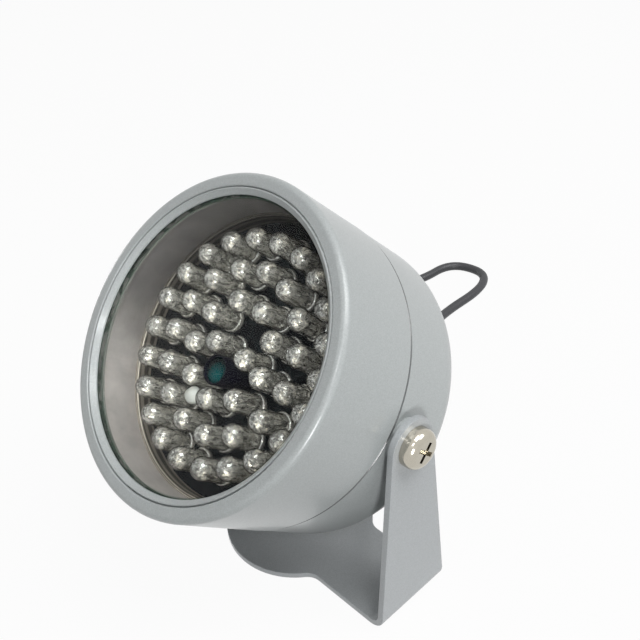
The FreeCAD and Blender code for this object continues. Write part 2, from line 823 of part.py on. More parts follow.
def make_electronics():
    make_block("control_chip", size("chip_x"), size("chip_y"), size("chip_length"),
               size("chip_width"), size("chip_height"))
    make_block("switch_transistor", size("transistor_x"), size("transistor_y"),
               size("transistor_length"), size("transistor_width"), size("transistor_height"))
    make_block("lead_header", size("header_x"), size("header_y"), size("header_length"),
               size("header_width"), size("header_height"))

    capacitor = new_body("filter_capacitor")
    can = turned_off_axis(
        capacitor, "capacitor_can", size("capacitor_x"), size("capacitor_y"),
        board_back - size("capacitor_height"), [
            (0, 0), (size("capacitor_radius"), 0),
            (size("capacitor_radius"), size("capacitor_height")), (0, size("capacitor_height"))])
    doc.recompute()

    def can_edge(edge):
        low = board_back - size("capacitor_height")
        return isinstance(edge.Curve, Part.Circle) and abs(edge.Curve.Center.z - low.number) < 0.01
    soften(capacitor, "can_round", can, can_edge, size("capacitor_round"))
    in_head(capacitor)

    resistors = new_body("drive_resistors")
    row = new_sketch(resistors, "resistor_outline", "XY_Plane")
    bind(row, "AttachmentOffset.Base.z", board_back)
    left = -size("resistor_pitch") * (size("resistor_count") - term(1)) / 2
    half_long = size("resistor_length") / 2
    half_wide = size("resistor_width") / 2
    low_y = size("resistor_y") - half_long
    high_y = size("resistor_y") + half_long
    add_outline(row, [(left - half_wide, low_y), (left + half_wide, low_y),
                      (left + half_wide, high_y), (left - half_wide, high_y)])
    doc.recompute()
    chip = push(resistors, "resistor", row, "PartDesign::Pad", size("resistor_height"), back=True)
    pattern = resistors.newObject("PartDesign::LinearPattern", "resistor_row")
    pattern.Originals = [chip]
    pattern.Direction = (origin_part(resistors, "X_Axis"), [""])
    pattern.Mode = "Spacing"
    bind(pattern, "Offset", size("resistor_pitch"))
    bind(pattern, "Occurrences", size("resistor_count"))
    resistors.Tip = pattern
    in_head(resistors)


# Cables: straight runs joined by the largest tangent arcs that both runs allow
ARC_SHARE = 0.45


def cable_path(name, points):
    """The wire through a route's points, with each corner rounded."""
    edges = []
    previous = points[0]
    radii = []
    for i in range(1, len(points) - 1):
        before = points[i] - points[i - 1]
        after = points[i + 1] - points[i]
        turn_angle = before.getAngle(after)
        cut = ARC_SHARE * min(before.Length, after.Length)
        radii.append(cut / math.tan(turn_angle / 2))
        into = before.normalize()
        out = after.normalize()
        start = points[i] - into * cut
        end = points[i] + out * cut
        centre_way = (out - into).normalize()
        centre = points[i] + centre_way * math.hypot(radii[-1], cut)
        middle = centre - centre_way * radii[-1]
        edges.append(Part.LineSegment(previous, start).toShape())
        edges.append(Part.Arc(start, middle, end).toShape())
        previous = end
    edges.append(Part.LineSegment(previous, points[-1]).toShape())
    print(name, "radii", [round(radius, 1) for radius in radii])
    return Part.Wire(edges)


def make_cable(name, points, radius, placement=None):
    """A round cable along a route; its volume is set against section times length."""
    path = cable_path(name, points)
    way = points[1] - points[0]
    section = Part.Wire([Part.makeCircle(radius, points[0], way)])
    solid = path.makePipeShell([section], True, True)
    expected = math.pi * radius ** 2 * path.Length
    print(name, "length", round(path.Length, 1), "volume share", round(solid.Volume / expected, 4))
    cable = doc.addObject("Part::Feature", name)
    cable.Label = name
    cable.Shape = solid
    if placement is not None:
        cable.Placement = placement
    return cable


# Two leads inside, from the header to the end of the cable's jacket, in the head's frame
def make_leads():
    jacket_end = (back_floor + size("tail_inside")).number
    header_face = (board_back - size("header_height")).number
    spread = (size("lead_radius") + size("lead_gap")).number
    for name, side in (("lead_red", 1), ("lead_black", -1)):
        pin_x = size("header_x").number
        pin_y = size("header_y").number - side * size("header_pitch").number / 2
        points = [
            FreeCAD.Vector(pin_x, pin_y, header_face),
            FreeCAD.Vector(pin_x, pin_y, header_face - size("lead_run").number),
            FreeCAD.Vector(0, -side * spread, jacket_end + size("lead_run").number),
            FreeCAD.Vector(0, -side * spread, jacket_end)]
        make_cable(name, points, size("lead_radius").number, head_placement())


# Power cord: out of the back, down to the floor, away behind the lamp and back to its socket
CORD_ROUTE = [
    (-2.5, 45.0, 6.0),
    (-9.0, 56.0, 1.55),
    (-19.0, 69.0, 1.55),
    (-32.5, 87.0, 1.55),
    (-32.5, 128.0, 1.55),
    (-53.0, 128.0, 1.55),
    (-53.0, 107.5, 1.55),
    (-62.0, 92.0, 1.55),
    (-75.0, 79.0, 1.55),
    (-86.0, 64.0, 1.55),
    (-86.0, 48.5, 1.55),
    (-74.0, 40.5, 3.0),
    (-61.5, 39.5, 5.05),
    (-50.0, 42.0, 5.05),
]


def behind_pivot(distance):
    """A point on the head's axis, that far behind the tilt axis, with the head at rest."""
    return head_placement().multVec(FreeCAD.Vector(0, 0, -distance))


def make_power_cord():
    start = size("tail_outside").number + size("cord_gap").number
    points = [behind_pivot(start), behind_pivot(start + size("cord_first_run").number)]
    points += [FreeCAD.Vector(*point) for point in CORD_ROUTE]
    make_cable("power_cord", points, size("cord_radius").number)


# Socket on the cord's end: a moulded body with a tapered boot, a metal sleeve and a pin
def lay_on_floor(piece):
    """Place a piece drawn along Z at the cord's end, in line with its last run."""
    end = FreeCAD.Vector(*CORD_ROUTE[-1])
    way = end - FreeCAD.Vector(*CORD_ROUTE[-2])
    piece.Placement = FreeCAD.Placement(end, FreeCAD.Rotation(FreeCAD.Vector(0, 0, 1), way))


def make_socket():
    boot = size("socket_boot_length")
    mouth = boot + size("socket_length")
    floor = mouth - size("socket_depth")
    radius = size("socket_radius")
    bore = size("socket_bore")
    body = new_body("socket_body")
    boot_tip = size("cord_radius") + size("cord_seat") + size("boot_tip_wall")
    shell = turn(body, "socket_shell", [
        (0, 0), (boot_tip, 0), (radius * 0.8, boot), (radius, boot), (radius, mouth),
        (bore, mouth), (bore, floor), (0, floor)])
    soften(body, "mouth_round", shell, ring_edge(radius, mouth), size("socket_round"))
    lay_on_floor(body)
    sleeve = new_body("socket_sleeve")
    seat = size("cord_seat")
    turn(sleeve, "sleeve_wall", ring_corners(
        bore - seat - size("socket_sleeve_wall"), bore - seat, floor, mouth - size("socket_round")))
    lay_on_floor(sleeve)
    pin = new_body("socket_pin")
    turn(pin, "pin_shaft", [
        (0, floor), (size("socket_pin_radius"), floor),
        (size("socket_pin_radius"), mouth - size("socket_pin_set")),
        (0, mouth - size("socket_pin_set"))])
    lay_on_floor(pin)


make_bracket()
make_front_barrel()
make_rear_cup()
make_stack()
make_led_rings()
make_sensor()
make_glue_dab()
make_body_seal()
make_pivot_screws()
make_pivot_washers()
make_grommet()
make_cable_tail()
make_cable_tie()
make_electronics()
make_leads()
make_power_cord()
make_socket()
doc.recompute()

# Every object has to be sound before anything is written
for item in doc.Objects:
    if "Invalid" in item.State or "Error" in item.State:
        raise RuntimeError("%s failed: %s" % (item.Name, item.State))

NODE_TYPES = ("PartDesign::Body", "Part::Box", "Part::Torus", "Part::Feature")
nodes = [item for item in doc.Objects if item.TypeId in NODE_TYPES]
os.makedirs("parts", exist_ok=True)
for node in nodes:
    if node.Shape.isNull() or not node.Shape.isValid():
        raise RuntimeError("%s has no sound shape" % node.Label)
for node in nodes:
    node.Shape.exportStep("parts/%s.step" % node.Label)
print(len(nodes), "nodes written")
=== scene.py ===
"""Infrared illuminator: finishes, emitters, cord and stage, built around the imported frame."""
import math
import random

import bmesh
import bpy
from mathutils import Matrix, Vector


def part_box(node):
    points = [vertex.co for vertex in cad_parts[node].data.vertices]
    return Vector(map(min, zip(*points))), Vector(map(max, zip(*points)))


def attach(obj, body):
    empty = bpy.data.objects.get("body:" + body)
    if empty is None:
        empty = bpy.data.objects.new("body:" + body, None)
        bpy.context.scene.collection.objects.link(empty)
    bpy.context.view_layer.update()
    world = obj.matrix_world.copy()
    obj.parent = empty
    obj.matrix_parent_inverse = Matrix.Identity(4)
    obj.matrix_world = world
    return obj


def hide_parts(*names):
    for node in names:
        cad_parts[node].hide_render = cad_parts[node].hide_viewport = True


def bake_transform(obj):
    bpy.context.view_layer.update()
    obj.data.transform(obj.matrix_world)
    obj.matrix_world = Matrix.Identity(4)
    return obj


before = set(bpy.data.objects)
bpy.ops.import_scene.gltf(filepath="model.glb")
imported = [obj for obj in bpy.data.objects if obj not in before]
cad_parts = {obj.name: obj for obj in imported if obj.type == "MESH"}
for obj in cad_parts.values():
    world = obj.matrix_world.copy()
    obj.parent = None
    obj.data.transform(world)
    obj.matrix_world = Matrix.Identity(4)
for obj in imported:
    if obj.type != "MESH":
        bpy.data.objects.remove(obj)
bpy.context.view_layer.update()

bl_info = {
    "name": "Infrared illuminator",
    "version": (1, 0, 0),
    "blender": (4, 5, 0),
    "location": "View3D > Sidebar > Illuminator",
    "description": "Finishes, emitters, cord and stage for an infrared lamp head on its bracket",
    "category": "Object",
}

MM = 0.001
CAMERA_PLACE = (0.113926, -0.088991, 0.150776)
CAMERA_AZIMUTH, CAMERA_ELEVATION, CAMERA_ROLL = 48.56, 32.49, -4.24
CAMERA_LENS = 45.28

# The cord's route over the floor in metres, from behind the head to the socket
CORD_ROUTE = [
    (0.0, 0.01902, 0.02957), (0.0, 0.0292, 0.0204), (0.0, 0.0366, 0.0137),
    (-0.0025, 0.045, 0.006), (-0.009, 0.056, 0.00155), (-0.019, 0.069, 0.00155),
    (-0.0325, 0.087, 0.00155), (-0.0325, 0.128, 0.00155), (-0.053, 0.128, 0.00155),
    (-0.053, 0.1075, 0.00155), (-0.062, 0.092, 0.00155), (-0.075, 0.079, 0.00155),
    (-0.086, 0.064, 0.00155), (-0.086, 0.0485, 0.00155), (-0.074, 0.0405, 0.003),
    (-0.0615, 0.0395, 0.00505), (-0.050, 0.042, 0.00505),
]


def length(name, description, default):
    return bpy.props.FloatProperty(name=name, description=description, default=default,
                                   unit="LENGTH", precision=5)


def colour(name, description, default):
    return bpy.props.FloatVectorProperty(name=name, description=description, default=default,
                                         subtype="COLOR", size=3, min=0, max=1)


def slant(name, description, degrees):
    return bpy.props.FloatProperty(name=name, description=description,
                                   default=math.radians(degrees), subtype="ANGLE")


def power(name, description, default):
    return bpy.props.FloatProperty(name=name, description=description, default=default,
                                   min=0, unit="POWER")


class HeadPlace(bpy.types.PropertyGroup):
    pivot_height: length("Pivot height", "Tilt axis above the foot's underside", 0.0467)
    tilt: slant("Tilt", "The head's axis above level", 42)
    board_face: length("Board face", "Front of the emitter board ahead of the tilt axis", 0.01045)
    seam: length("Seam", "Joint of barrel and rear cup ahead of the tilt axis", 0.0050)
    glass_edge: length("Glass edge", "Radius of the glass that shows inside its ring", 0.03045)


class EmitterSizes(bpy.types.PropertyGroup):
    body_radius: length("Body radius", "Radius of an emitter's clear body", 0.0025)
    collar_radius: length("Collar radius", "Radius of the collar at its foot", 0.0029)
    collar_height: length("Collar height", "Height of that collar", 0.001)
    height: length("Height", "From the board to the top of the dome", 0.0092)
    cup_radius: length("Cup radius", "Mouth of the silver cup inside", 0.0011)
    cup_top: length("Cup top", "Height of the cup's mouth above the board", 0.0061)
    lean: slant("Lean", "Most that an emitter leans", 1.6)


class SensorSizes(bpy.types.PropertyGroup):
    centre_radius: length("Centre radius", "Distance of the four middle places from the axis",
                          0.0045962)
    phase: slant("Sensor angle", "The sensor's place round the axis", 275)
    eye_radius: length("Eye radius", "Radius of the teal eye inside the hood", 0.0028)
    eye_height: length("Eye height", "Top of that eye above the board", 0.0086)
    hood_radius: length("Hood radius", "Outside of the dark tube round the eye", 0.00315)
    hood_wall: length("Hood wall", "Wall of that tube", 0.00035)
    hood_height: length("Hood height", "Top of that tube above the board", 0.00895)


class CordSizes(bpy.types.PropertyGroup):
    diameter: length("Diameter", "Thickness of the supply cord", 0.003)
    length: length("Length", "Cord from the boot to the socket", 0.268)


class FinishColours(bpy.types.PropertyGroup):
    housing: colour("Housing", "Silver-grey paint of the head", (0.385, 0.41, 0.41))
    bracket: colour("Bracket", "Silver-grey paint of the bracket", (0.38, 0.40, 0.41))
    epoxy: colour("Epoxy", "Clear emitter bodies", (0.90, 0.86, 0.79))
    silver: colour("Silver", "Plated parts inside the emitters", (0.43, 0.415, 0.38))
    board: colour("Board", "Solder lacquer of the emitter board", (0.003, 0.0035, 0.005))
    cell: colour("Cell", "Light-sensitive face of the sensor", (0.0003, 0.040, 0.043))
    silicone: colour("Silicone", "Dab of cured silicone", (0.34, 0.34, 0.32))
    cord: colour("Cord", "Cord jacket", (0.035, 0.036, 0.040))


class StageLight(bpy.types.PropertyGroup):
    floor: colour("Floor", "Plain pale floor", (0.26, 0.26, 0.26))
    surround: bpy.props.FloatProperty(name="Surround", description="Even light from all sides",
                                      default=0.10, min=0)
    key: power("Key lamp", "Soft lamp above on the right", 5.4)
    side: power("Side lamp", "Soft lamp low on the right", 5.0)
    back: power("Back lamp", "Soft lamp behind on the right", 4.0)
    left: power("Left lamp", "Small lamp low on the left", 0.6)
    spark: power("Spark lamp", "Small lamp near the camera", 0.9)


# Modelling by hand
def clear_selection():
    if bpy.context.object and bpy.context.object.mode != "OBJECT":
        bpy.ops.object.mode_set(mode="OBJECT")
    bpy.ops.object.select_all(action="DESELECT")


def choose(piece):
    clear_selection()
    piece.select_set(True)
    bpy.context.view_layer.objects.active = piece


def pick(kind, test):
    """In edit mode, select the faces, edges or corners that pass the test, and no others."""
    bpy.ops.mesh.select_mode(type=kind)
    bpy.ops.mesh.select_all(action="DESELECT")
    mesh = bmesh.from_edit_mesh(bpy.context.object.data)
    for item in {"VERT": mesh.verts, "EDGE": mesh.edges, "FACE": mesh.faces}[kind]:
        if test(item):
            item.select_set(True)
    mesh.select_flush_mode()
    bmesh.update_edit_mesh(bpy.context.object.data)


def close_up(gap=1e-7):
    """Merge doubles, close open rims and turn all faces outwards."""
    bpy.ops.mesh.select_mode(type="VERT")
    bpy.ops.mesh.select_all(action="SELECT")
    bpy.ops.mesh.remove_doubles(threshold=gap)
    bpy.ops.mesh.fill_holes(sides=0)
    bpy.ops.mesh.select_all(action="SELECT")
    bpy.ops.mesh.normals_make_consistent(inside=False)


def draw_out(name, outline, sides=32):
    """A round piece about Z: a circle is extruded and scaled from ring to ring of its outline."""
    clear_selection()
    radius, height = outline[0]
    bpy.ops.mesh.primitive_circle_add(vertices=sides, radius=radius, location=(0, 0, height))
    piece = bpy.context.object
    piece.name = name
    bpy.ops.object.transform_apply(location=True, rotation=True, scale=True)
    bpy.ops.object.mode_set(mode="EDIT")
    bpy.ops.mesh.select_mode(type="VERT")
    bpy.ops.mesh.select_all(action="SELECT")
    for next_radius, next_height in outline[1:]:
        bpy.ops.mesh.extrude_region_move(
            TRANSFORM_OT_translate={"value": (0, 0, next_height - height)})
        if next_radius > 0:
            ratio = next_radius / radius
            bpy.ops.transform.resize(value=(ratio, ratio, 1), center_override=(0, 0, next_height))
        else:
            bpy.ops.mesh.merge(type="CENTER")
        radius, height = next_radius, next_height
    close_up()
    bpy.ops.object.mode_set(mode="OBJECT")
    return piece


def round_over(centre_radius, centre_height, radius, first, last, steps, rise=None):
    """Points of an outline round a corner: angles in degrees from straight outwards.
    A rise other than the radius makes it a part of an ellipse."""
    turns = [math.radians(first + (last - first) * i / steps) for i in range(steps + 1)]
    return [(centre_radius + radius * math.cos(t),
             centre_height + (rise or radius) * math.sin(t)) for t in turns]


def copy_of(piece):
    choose(piece)
    bpy.ops.object.duplicate(linked=False)
    return bpy.context.object


def place(piece, matrix):
    """Put the piece's place into its mesh, so that its object stays at the origin."""
    choose(piece)
    piece.matrix_world = matrix @ piece.matrix_world
    bpy.ops.object.transform_apply(location=True, rotation=True, scale=True)
    return piece


def join(name, pieces):
    clear_selection()
    for piece in pieces:
        piece.select_set(True)
    bpy.context.view_layer.objects.active = pieces[0]
    bpy.ops.object.join()
    made = bpy.context.object
    made.name = name
    made.data.name = name
    return made


def discard(piece):
    choose(piece)
    bpy.ops.object.delete()


def smooth(piece, degrees=40):
    choose(piece)
    bpy.ops.object.shade_smooth_by_angle(angle=math.radians(degrees))
    return piece


def bevel_edges(piece, width, segments=2, degrees=40):
    choose(piece)
    bevel = piece.modifiers.new("Broken edges", "BEVEL")
    bevel.width, bevel.segments = width, segments
    bevel.limit_method, bevel.angle_limit = "ANGLE", math.radians(degrees)
    bpy.ops.object.modifier_apply(modifier=bevel.name)
    return smooth(piece)


def clean_copy(node, name):
    """A merged copy of a CAD node, ready for more work. The node itself stays as it is."""
    piece = copy_of(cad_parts[node])
    piece.name = name
    piece.parent = None
    for key in list(piece.keys()):
        del piece[key]
    choose(piece)
    bpy.ops.mesh.customdata_custom_splitnormals_clear()
    bpy.ops.object.mode_set(mode="EDIT")
    bpy.ops.mesh.select_all(action="SELECT")
    bpy.ops.mesh.remove_doubles(threshold=2e-6)
    bpy.ops.mesh.dissolve_limited(angle_limit=math.radians(0.5))
    bpy.ops.mesh.select_all(action="SELECT")
    bpy.ops.mesh.normals_make_consistent(inside=False)
    bpy.ops.object.mode_set(mode="OBJECT")
    return piece


def head_place():
    """From the head's own axes, Z towards the glass, to the frame."""
    head = bpy.context.scene.illuminator_head
    return (Matrix.Translation((0, 0, head.pivot_height))
            @ Matrix.Rotation(math.pi / 2 - head.tilt, 4, "X"))


def board_place(radius=0.0, angle=0.0, height=0.0):
    """A place on the emitter board, as seen from the front."""
    board = bpy.context.scene.illuminator_head.board_face
    spot = (radius * math.cos(angle), radius * math.sin(angle), board + height)
    return head_place() @ Matrix.Translation(spot)


def put_on(piece, body, material):
    """The piece's finish in its material slot, and the body it moves with."""
    piece.data.materials.clear()
    piece.data.materials.append(material)
    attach(piece, body)
    return piece


def finish_nodes(material, *names):
    for name in names:
        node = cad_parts[name]
        if not node.material_slots:
            node.data.materials.append(material)
        for spot in node.material_slots:
            spot.material = material


# Shader groups
def add(tree, kind, inputs=None, **settings):
    """One node with its settings, and its inputs set or joined."""
    made = tree.nodes.new(kind)
    for key, value in settings.items():
        setattr(made, key, value)
    for key, value in (inputs or {}).items():
        if isinstance(value, bpy.types.NodeSocket):
            tree.links.new(value, made.inputs[key])
        else:
            made.inputs[key].default_value = value
    return made


def reckon(tree, operation, first, second=0.0):
    """One step of arithmetic with two values."""
    return add(tree, "ShaderNodeMath", {0: first, 1: second}, operation=operation).outputs[0]


def spread(tree, value, start, end, low, high, **settings):
    """A value that runs from start to end, turned into one that runs from low to high."""
    return add(tree, "ShaderNodeMapRange", {
        "Value": value, "From Min": start, "From Max": end, "To Min": low, "To Max": high},
        **settings).outputs[0]


def part_of(tree, vector, axis):
    return add(tree, "ShaderNodeSeparateXYZ", {"Vector": vector}).outputs[axis]


def from_axis(tree, vector, middle=(0, 0, 0), along=0.0):
    """Distance from the Z axis, or from a line beside it, with a share of the height."""
    across = add(tree, "ShaderNodeVectorMath", {0: vector, 1: (1, 1, along)},
                 operation="MULTIPLY")
    return add(tree, "ShaderNodeVectorMath", {0: across.outputs[0], 1: middle},
               operation="DISTANCE").outputs["Value"]


def new_group(name, inputs, outputs, kind="NodeSocketFloat"):
    group = bpy.data.node_groups.new(name, "ShaderNodeTree")
    group.interface.new_socket("Vector", in_out="INPUT", socket_type="NodeSocketVector")
    for label, value in inputs.items():
        socket = group.interface.new_socket(label, in_out="INPUT",
                                            socket_type="NodeSocketFloat")
        socket.default_value = value
    for label in outputs:
        group.interface.new_socket(label, in_out="OUTPUT", socket_type=kind)
    return group, group.nodes.new("NodeGroupInput").outputs, group.nodes.new("NodeGroupOutput")


def around_one(tree, value, amount):
    """A value from 0 to 1 turned into a shade from 1 - amount to 1 + amount."""
    scaled = reckon(tree, "MULTIPLY", reckon(tree, "SUBTRACT", value, 0.5), amount)
    return reckon(tree, "ADD", reckon(tree, "MULTIPLY", scaled, 2.0), 1.0)


def drawn_out(group, given):
    """The group's own vector, drawn out along Z by its Stretch."""
    squeeze = add(group, "ShaderNodeCombineXYZ", {"X": 1.0, "Y": 1.0, "Z": given["Stretch"]})
    return add(group, "ShaderNodeVectorMath", {0: given["Vector"], 1: squeeze.outputs[0]},
               operation="MULTIPLY").outputs[0]


def grain_group():
    """Fine unevenness: a shade close to 1, and a height for bump."""
    group, given, out = new_group("Fine grain", {"Scale": 2000.0, "Amount": 0.05},
                                  ["Shade", "Height"])
    fine = add(group, "ShaderNodeTexNoise",
               {"Vector": given["Vector"], "Scale": given["Scale"], "Detail": 3.0})
    shade = around_one(group, fine.outputs["Fac"], given["Amount"])
    group.links.new(shade, out.inputs["Shade"])
    group.links.new(fine.outputs["Fac"], out.inputs["Height"])
    return group


def flake_group():
    """Metal flakes in paint: each small cell has a shade of its own."""
    group, given, out = new_group("Metal flakes", {"Scale": 6000.0, "Amount": 0.1}, ["Shade"])
    cells = add(group, "ShaderNodeTexVoronoi",
                {"Vector": given["Vector"], "Scale": given["Scale"]})
    parts = add(group, "ShaderNodeSeparateColor", {"Color": cells.outputs["Color"]})
    shade = around_one(group, parts.outputs[0], given["Amount"])
    group.links.new(shade, out.inputs["Shade"])
    return group


def marks_group():
    """Broad soft patches, as from handling: a value between Low and High."""
    group, given, out = new_group("Handling marks", {"Scale": 60.0, "Low": 0.3, "High": 0.4},
                                  ["Value"])
    broad = add(group, "ShaderNodeTexNoise", {"Vector": given["Vector"],
                "Scale": given["Scale"], "Detail": 5.0, "Roughness": 0.6})
    value = spread(group, broad.outputs["Fac"], 0.3, 0.7, given["Low"], given["High"])
    group.links.new(value, out.inputs["Value"])
    return group


def drawn_group():
    """Lines along Z, as on drawn or rolled metal."""
    group, given, out = new_group(
        "Drawn lines", {"Scale": 1500.0, "Stretch": 0.04, "Amount": 0.2}, ["Shade", "Height"])
    lines = add(group, "ShaderNodeTexNoise",
                {"Vector": drawn_out(group, given), "Scale": given["Scale"], "Detail": 4.0})
    shade = around_one(group, lines.outputs["Fac"], given["Amount"])
    group.links.new(shade, out.inputs["Shade"])
    group.links.new(lines.outputs["Fac"], out.inputs["Height"])
    return group


def broken_light_group():
    """Sharp patches of 0 and 1 with soft edges, drawn out along Z, as in a clear moulding."""
    group, given, out = new_group(
        "Broken light", {"Scale": 1500.0, "Stretch": 0.4, "From": 0.46, "To": 0.56}, ["Value"])
    patches = add(group, "ShaderNodeTexNoise", {"Vector": drawn_out(group, given),
                  "Scale": given["Scale"], "Detail": 2.0, "Roughness": 0.6, "Distortion": 0.6})
    value = spread(group, patches.outputs["Fac"], given["From"], given["To"], 0.0, 1.0)
    group.links.new(value, out.inputs["Value"])
    return group


def facets_group():
    """Small flat facets, drawn out along Z: each has a normal of its own."""
    group, given, out = new_group(
        "Facets", {"Scale": 1300.0, "Stretch": 0.6, "Tilt": 0.4}, ["Normal"],
        kind="NodeSocketVector")
    cells = add(group, "ShaderNodeTexVoronoi",
                {"Vector": drawn_out(group, given), "Scale": given["Scale"]})
    centred = add(group, "ShaderNodeVectorMath", {0: cells.outputs["Color"],
                  1: (0.5, 0.5, 0.5)}, operation="SUBTRACT")
    tilted = add(group, "ShaderNodeVectorMath", {0: centred.outputs[0],
                 "Scale": given["Tilt"]}, operation="SCALE")
    surface = add(group, "ShaderNodeNewGeometry")
    leaning = add(group, "ShaderNodeVectorMath", {0: tilted.outputs[0],
                  1: surface.outputs["Normal"]}, operation="ADD")
    unit = add(group, "ShaderNodeVectorMath", {0: leaning.outputs[0]}, operation="NORMALIZE")
    group.links.new(unit.outputs[0], out.inputs["Normal"])
    return group


EFFECTS = {
    "Fine grain": grain_group,
    "Metal flakes": flake_group,
    "Handling marks": marks_group,
    "Drawn lines": drawn_group,
    "Broken light": broken_light_group,
    "Facets": facets_group,
}


def effect(tree, title, vector, **values):
    """Place a shared group in a material, with this material's own values or sockets."""
    group = bpy.data.node_groups.get(title) or EFFECTS[title]()
    return add(tree, "ShaderNodeGroup", {"Vector": vector, **values}, node_tree=group).outputs


def new_material(name):
    material = bpy.data.materials.new(name)
    material.use_nodes = True
    tree = material.node_tree
    tree.nodes.clear()
    coordinates = add(tree, "ShaderNodeTexCoord")
    shader = add(tree, "ShaderNodeBsdfPrincipled")
    output = add(tree, "ShaderNodeOutputMaterial", {"Surface": shader.outputs[0]})
    return material, tree, coordinates.outputs["Object"], shader, output


def on_head(tree, vector):
    """Object coordinates turned into the head's own axes."""
    back = head_place().inverted()
    return add(tree, "ShaderNodeMapping", {"Vector": vector, "Location": back.to_translation(),
               "Rotation": back.to_euler("XYZ")}).outputs[0]


def shaded(tree, base, *shades):
    """A colour times one or more shades."""
    for shade in shades:
        base = add(tree, "ShaderNodeVectorMath", {0: base, "Scale": shade},
                   operation="SCALE").outputs[0]
    return base


def uneven_gloss(tree, vector, shader, scale, low, high):
    marks = effect(tree, "Handling marks", vector, Scale=scale, Low=low, High=high)
    tree.links.new(marks["Value"], shader.inputs["Roughness"])


def raised(tree, shader, height, depth):
    """Bump from a height between 0 and 1 that stands for a depth in millimetres."""
    bump = add(tree, "ShaderNodeBump", {"Height": height, "Distance": depth * MM})
    tree.links.new(bump.outputs[0], shader.inputs["Normal"])


def finish(name, base, rough=(0.4, 0.5), metallic=0.0, coat=0.0, grain=(2500.0, 0.05),
           depth=0.01, flake=None, drawn=None, marks=60.0, specular=0.5, subsurface=0.0):
    """A plain finish: grain, marks in its gloss and, where it has them, flakes or drawn lines."""
    material, tree, vector, shader, _ = new_material(name)
    fine = effect(tree, "Fine grain", vector, Scale=grain[0], Amount=grain[1])
    shades, height = [fine["Shade"]], fine["Height"]
    if flake:
        flakes = effect(tree, "Metal flakes", vector, Scale=flake[0], Amount=flake[1])
        shades.append(flakes["Shade"])
    if drawn:
        lines = effect(tree, "Drawn lines", on_head(tree, vector), Scale=drawn[0],
                       Amount=drawn[1])
        shades.append(lines["Shade"])
        height = lines["Height"]
    tree.links.new(shaded(tree, tuple(base), *shades), shader.inputs["Base Color"])
    uneven_gloss(tree, vector, shader, marks, *rough)
    raised(tree, shader, height, depth)
    shader.inputs["Metallic"].default_value = metallic
    shader.inputs["Coat Weight"].default_value = coat
    shader.inputs["Coat Roughness"].default_value = 0.15
    shader.inputs["Specular IOR Level"].default_value = specular
    if subsurface:
        shader.inputs["Subsurface Weight"].default_value = subsurface
        shader.inputs["Subsurface Radius"].default_value = (0.6 * MM, 0.5 * MM, 0.4 * MM)
        shader.inputs["Subsurface Scale"].default_value = 1.0
    return material


def reopened(material):
    """A finish's tree, its Object coordinates and a way to shade its colour further."""
    tree = material.node_tree
    shader = next(node for node in tree.nodes if node.type == "BSDF_PRINCIPLED")
    place_node = next(node for node in tree.nodes if node.type == "TEX_COORD")

    def shade(*shades):
        so_far = shader.inputs["Base Color"].links[0].from_socket
        tree.links.new(shaded(tree, so_far, *shades), shader.inputs["Base Color"])

    return tree, place_node.outputs["Object"], shade


def let_light_in(tree, shader, output, tint):
    """Clear material whose shadow is tinted instead of dark."""
    rays = add(tree, "ShaderNodeLightPath")
    pass_through = add(tree, "ShaderNodeBsdfTransparent", {"Color": (*tint, 1.0)})
    mixed = add(tree, "ShaderNodeMixShader", {0: rays.outputs["Is Shadow Ray"],
                1: shader.outputs[0], 2: pass_through.outputs[0]})
    tree.links.new(mixed.outputs[0], output.inputs["Surface"])


def clear_material(name, ior, rough, tint, clear=1.0, mirrored=1.0):
    """A clear piece with marks in its gloss. Its colour is joined where it is used."""
    material, tree, vector, shader, output = new_material(name)
    uneven_gloss(tree, vector, shader, 120.0, *rough)
    shader.inputs["Transmission Weight"].default_value = clear
    shader.inputs["Specular Tint"].default_value = (mirrored, mirrored, mirrored, 1)
    shader.inputs["IOR"].default_value = ior
    let_light_in(tree, shader, output, tint)
    return material, tree, on_head(tree, vector), shader


# Camera and cord
class ILLUMINATOR_OT_camera(bpy.types.Operator):
    """Place the camera where the lamp is seen from its front right, a little above"""
    bl_idname = "illuminator.camera"
    bl_label = "Camera"

    def execute(self, context):
        azimuth, elevation = math.radians(CAMERA_AZIMUTH), math.radians(CAMERA_ELEVATION)
        roll = math.radians(CAMERA_ROLL)
        back = Vector((math.sin(azimuth) * math.cos(elevation),
                       -math.cos(azimuth) * math.cos(elevation), math.sin(elevation)))
        right = Vector((math.cos(azimuth), math.sin(azimuth), 0))
        up = back.cross(right)
        turned_right = right * math.cos(roll) + up * math.sin(roll)
        turned_up = up * math.cos(roll) - right * math.sin(roll)
        clear_selection()
        bpy.ops.object.camera_add(location=CAMERA_PLACE)
        camera = context.object
        camera.name = "front_right_camera"
        axes = Matrix((turned_right, turned_up, back)).transposed()
        camera.rotation_euler = axes.to_euler()
        camera.data.sensor_width = 36.0
        camera.data.lens = CAMERA_LENS
        camera.data.clip_start, camera.data.clip_end = 0.005, 20.0
        context.scene.camera = camera
        return {"FINISHED"}


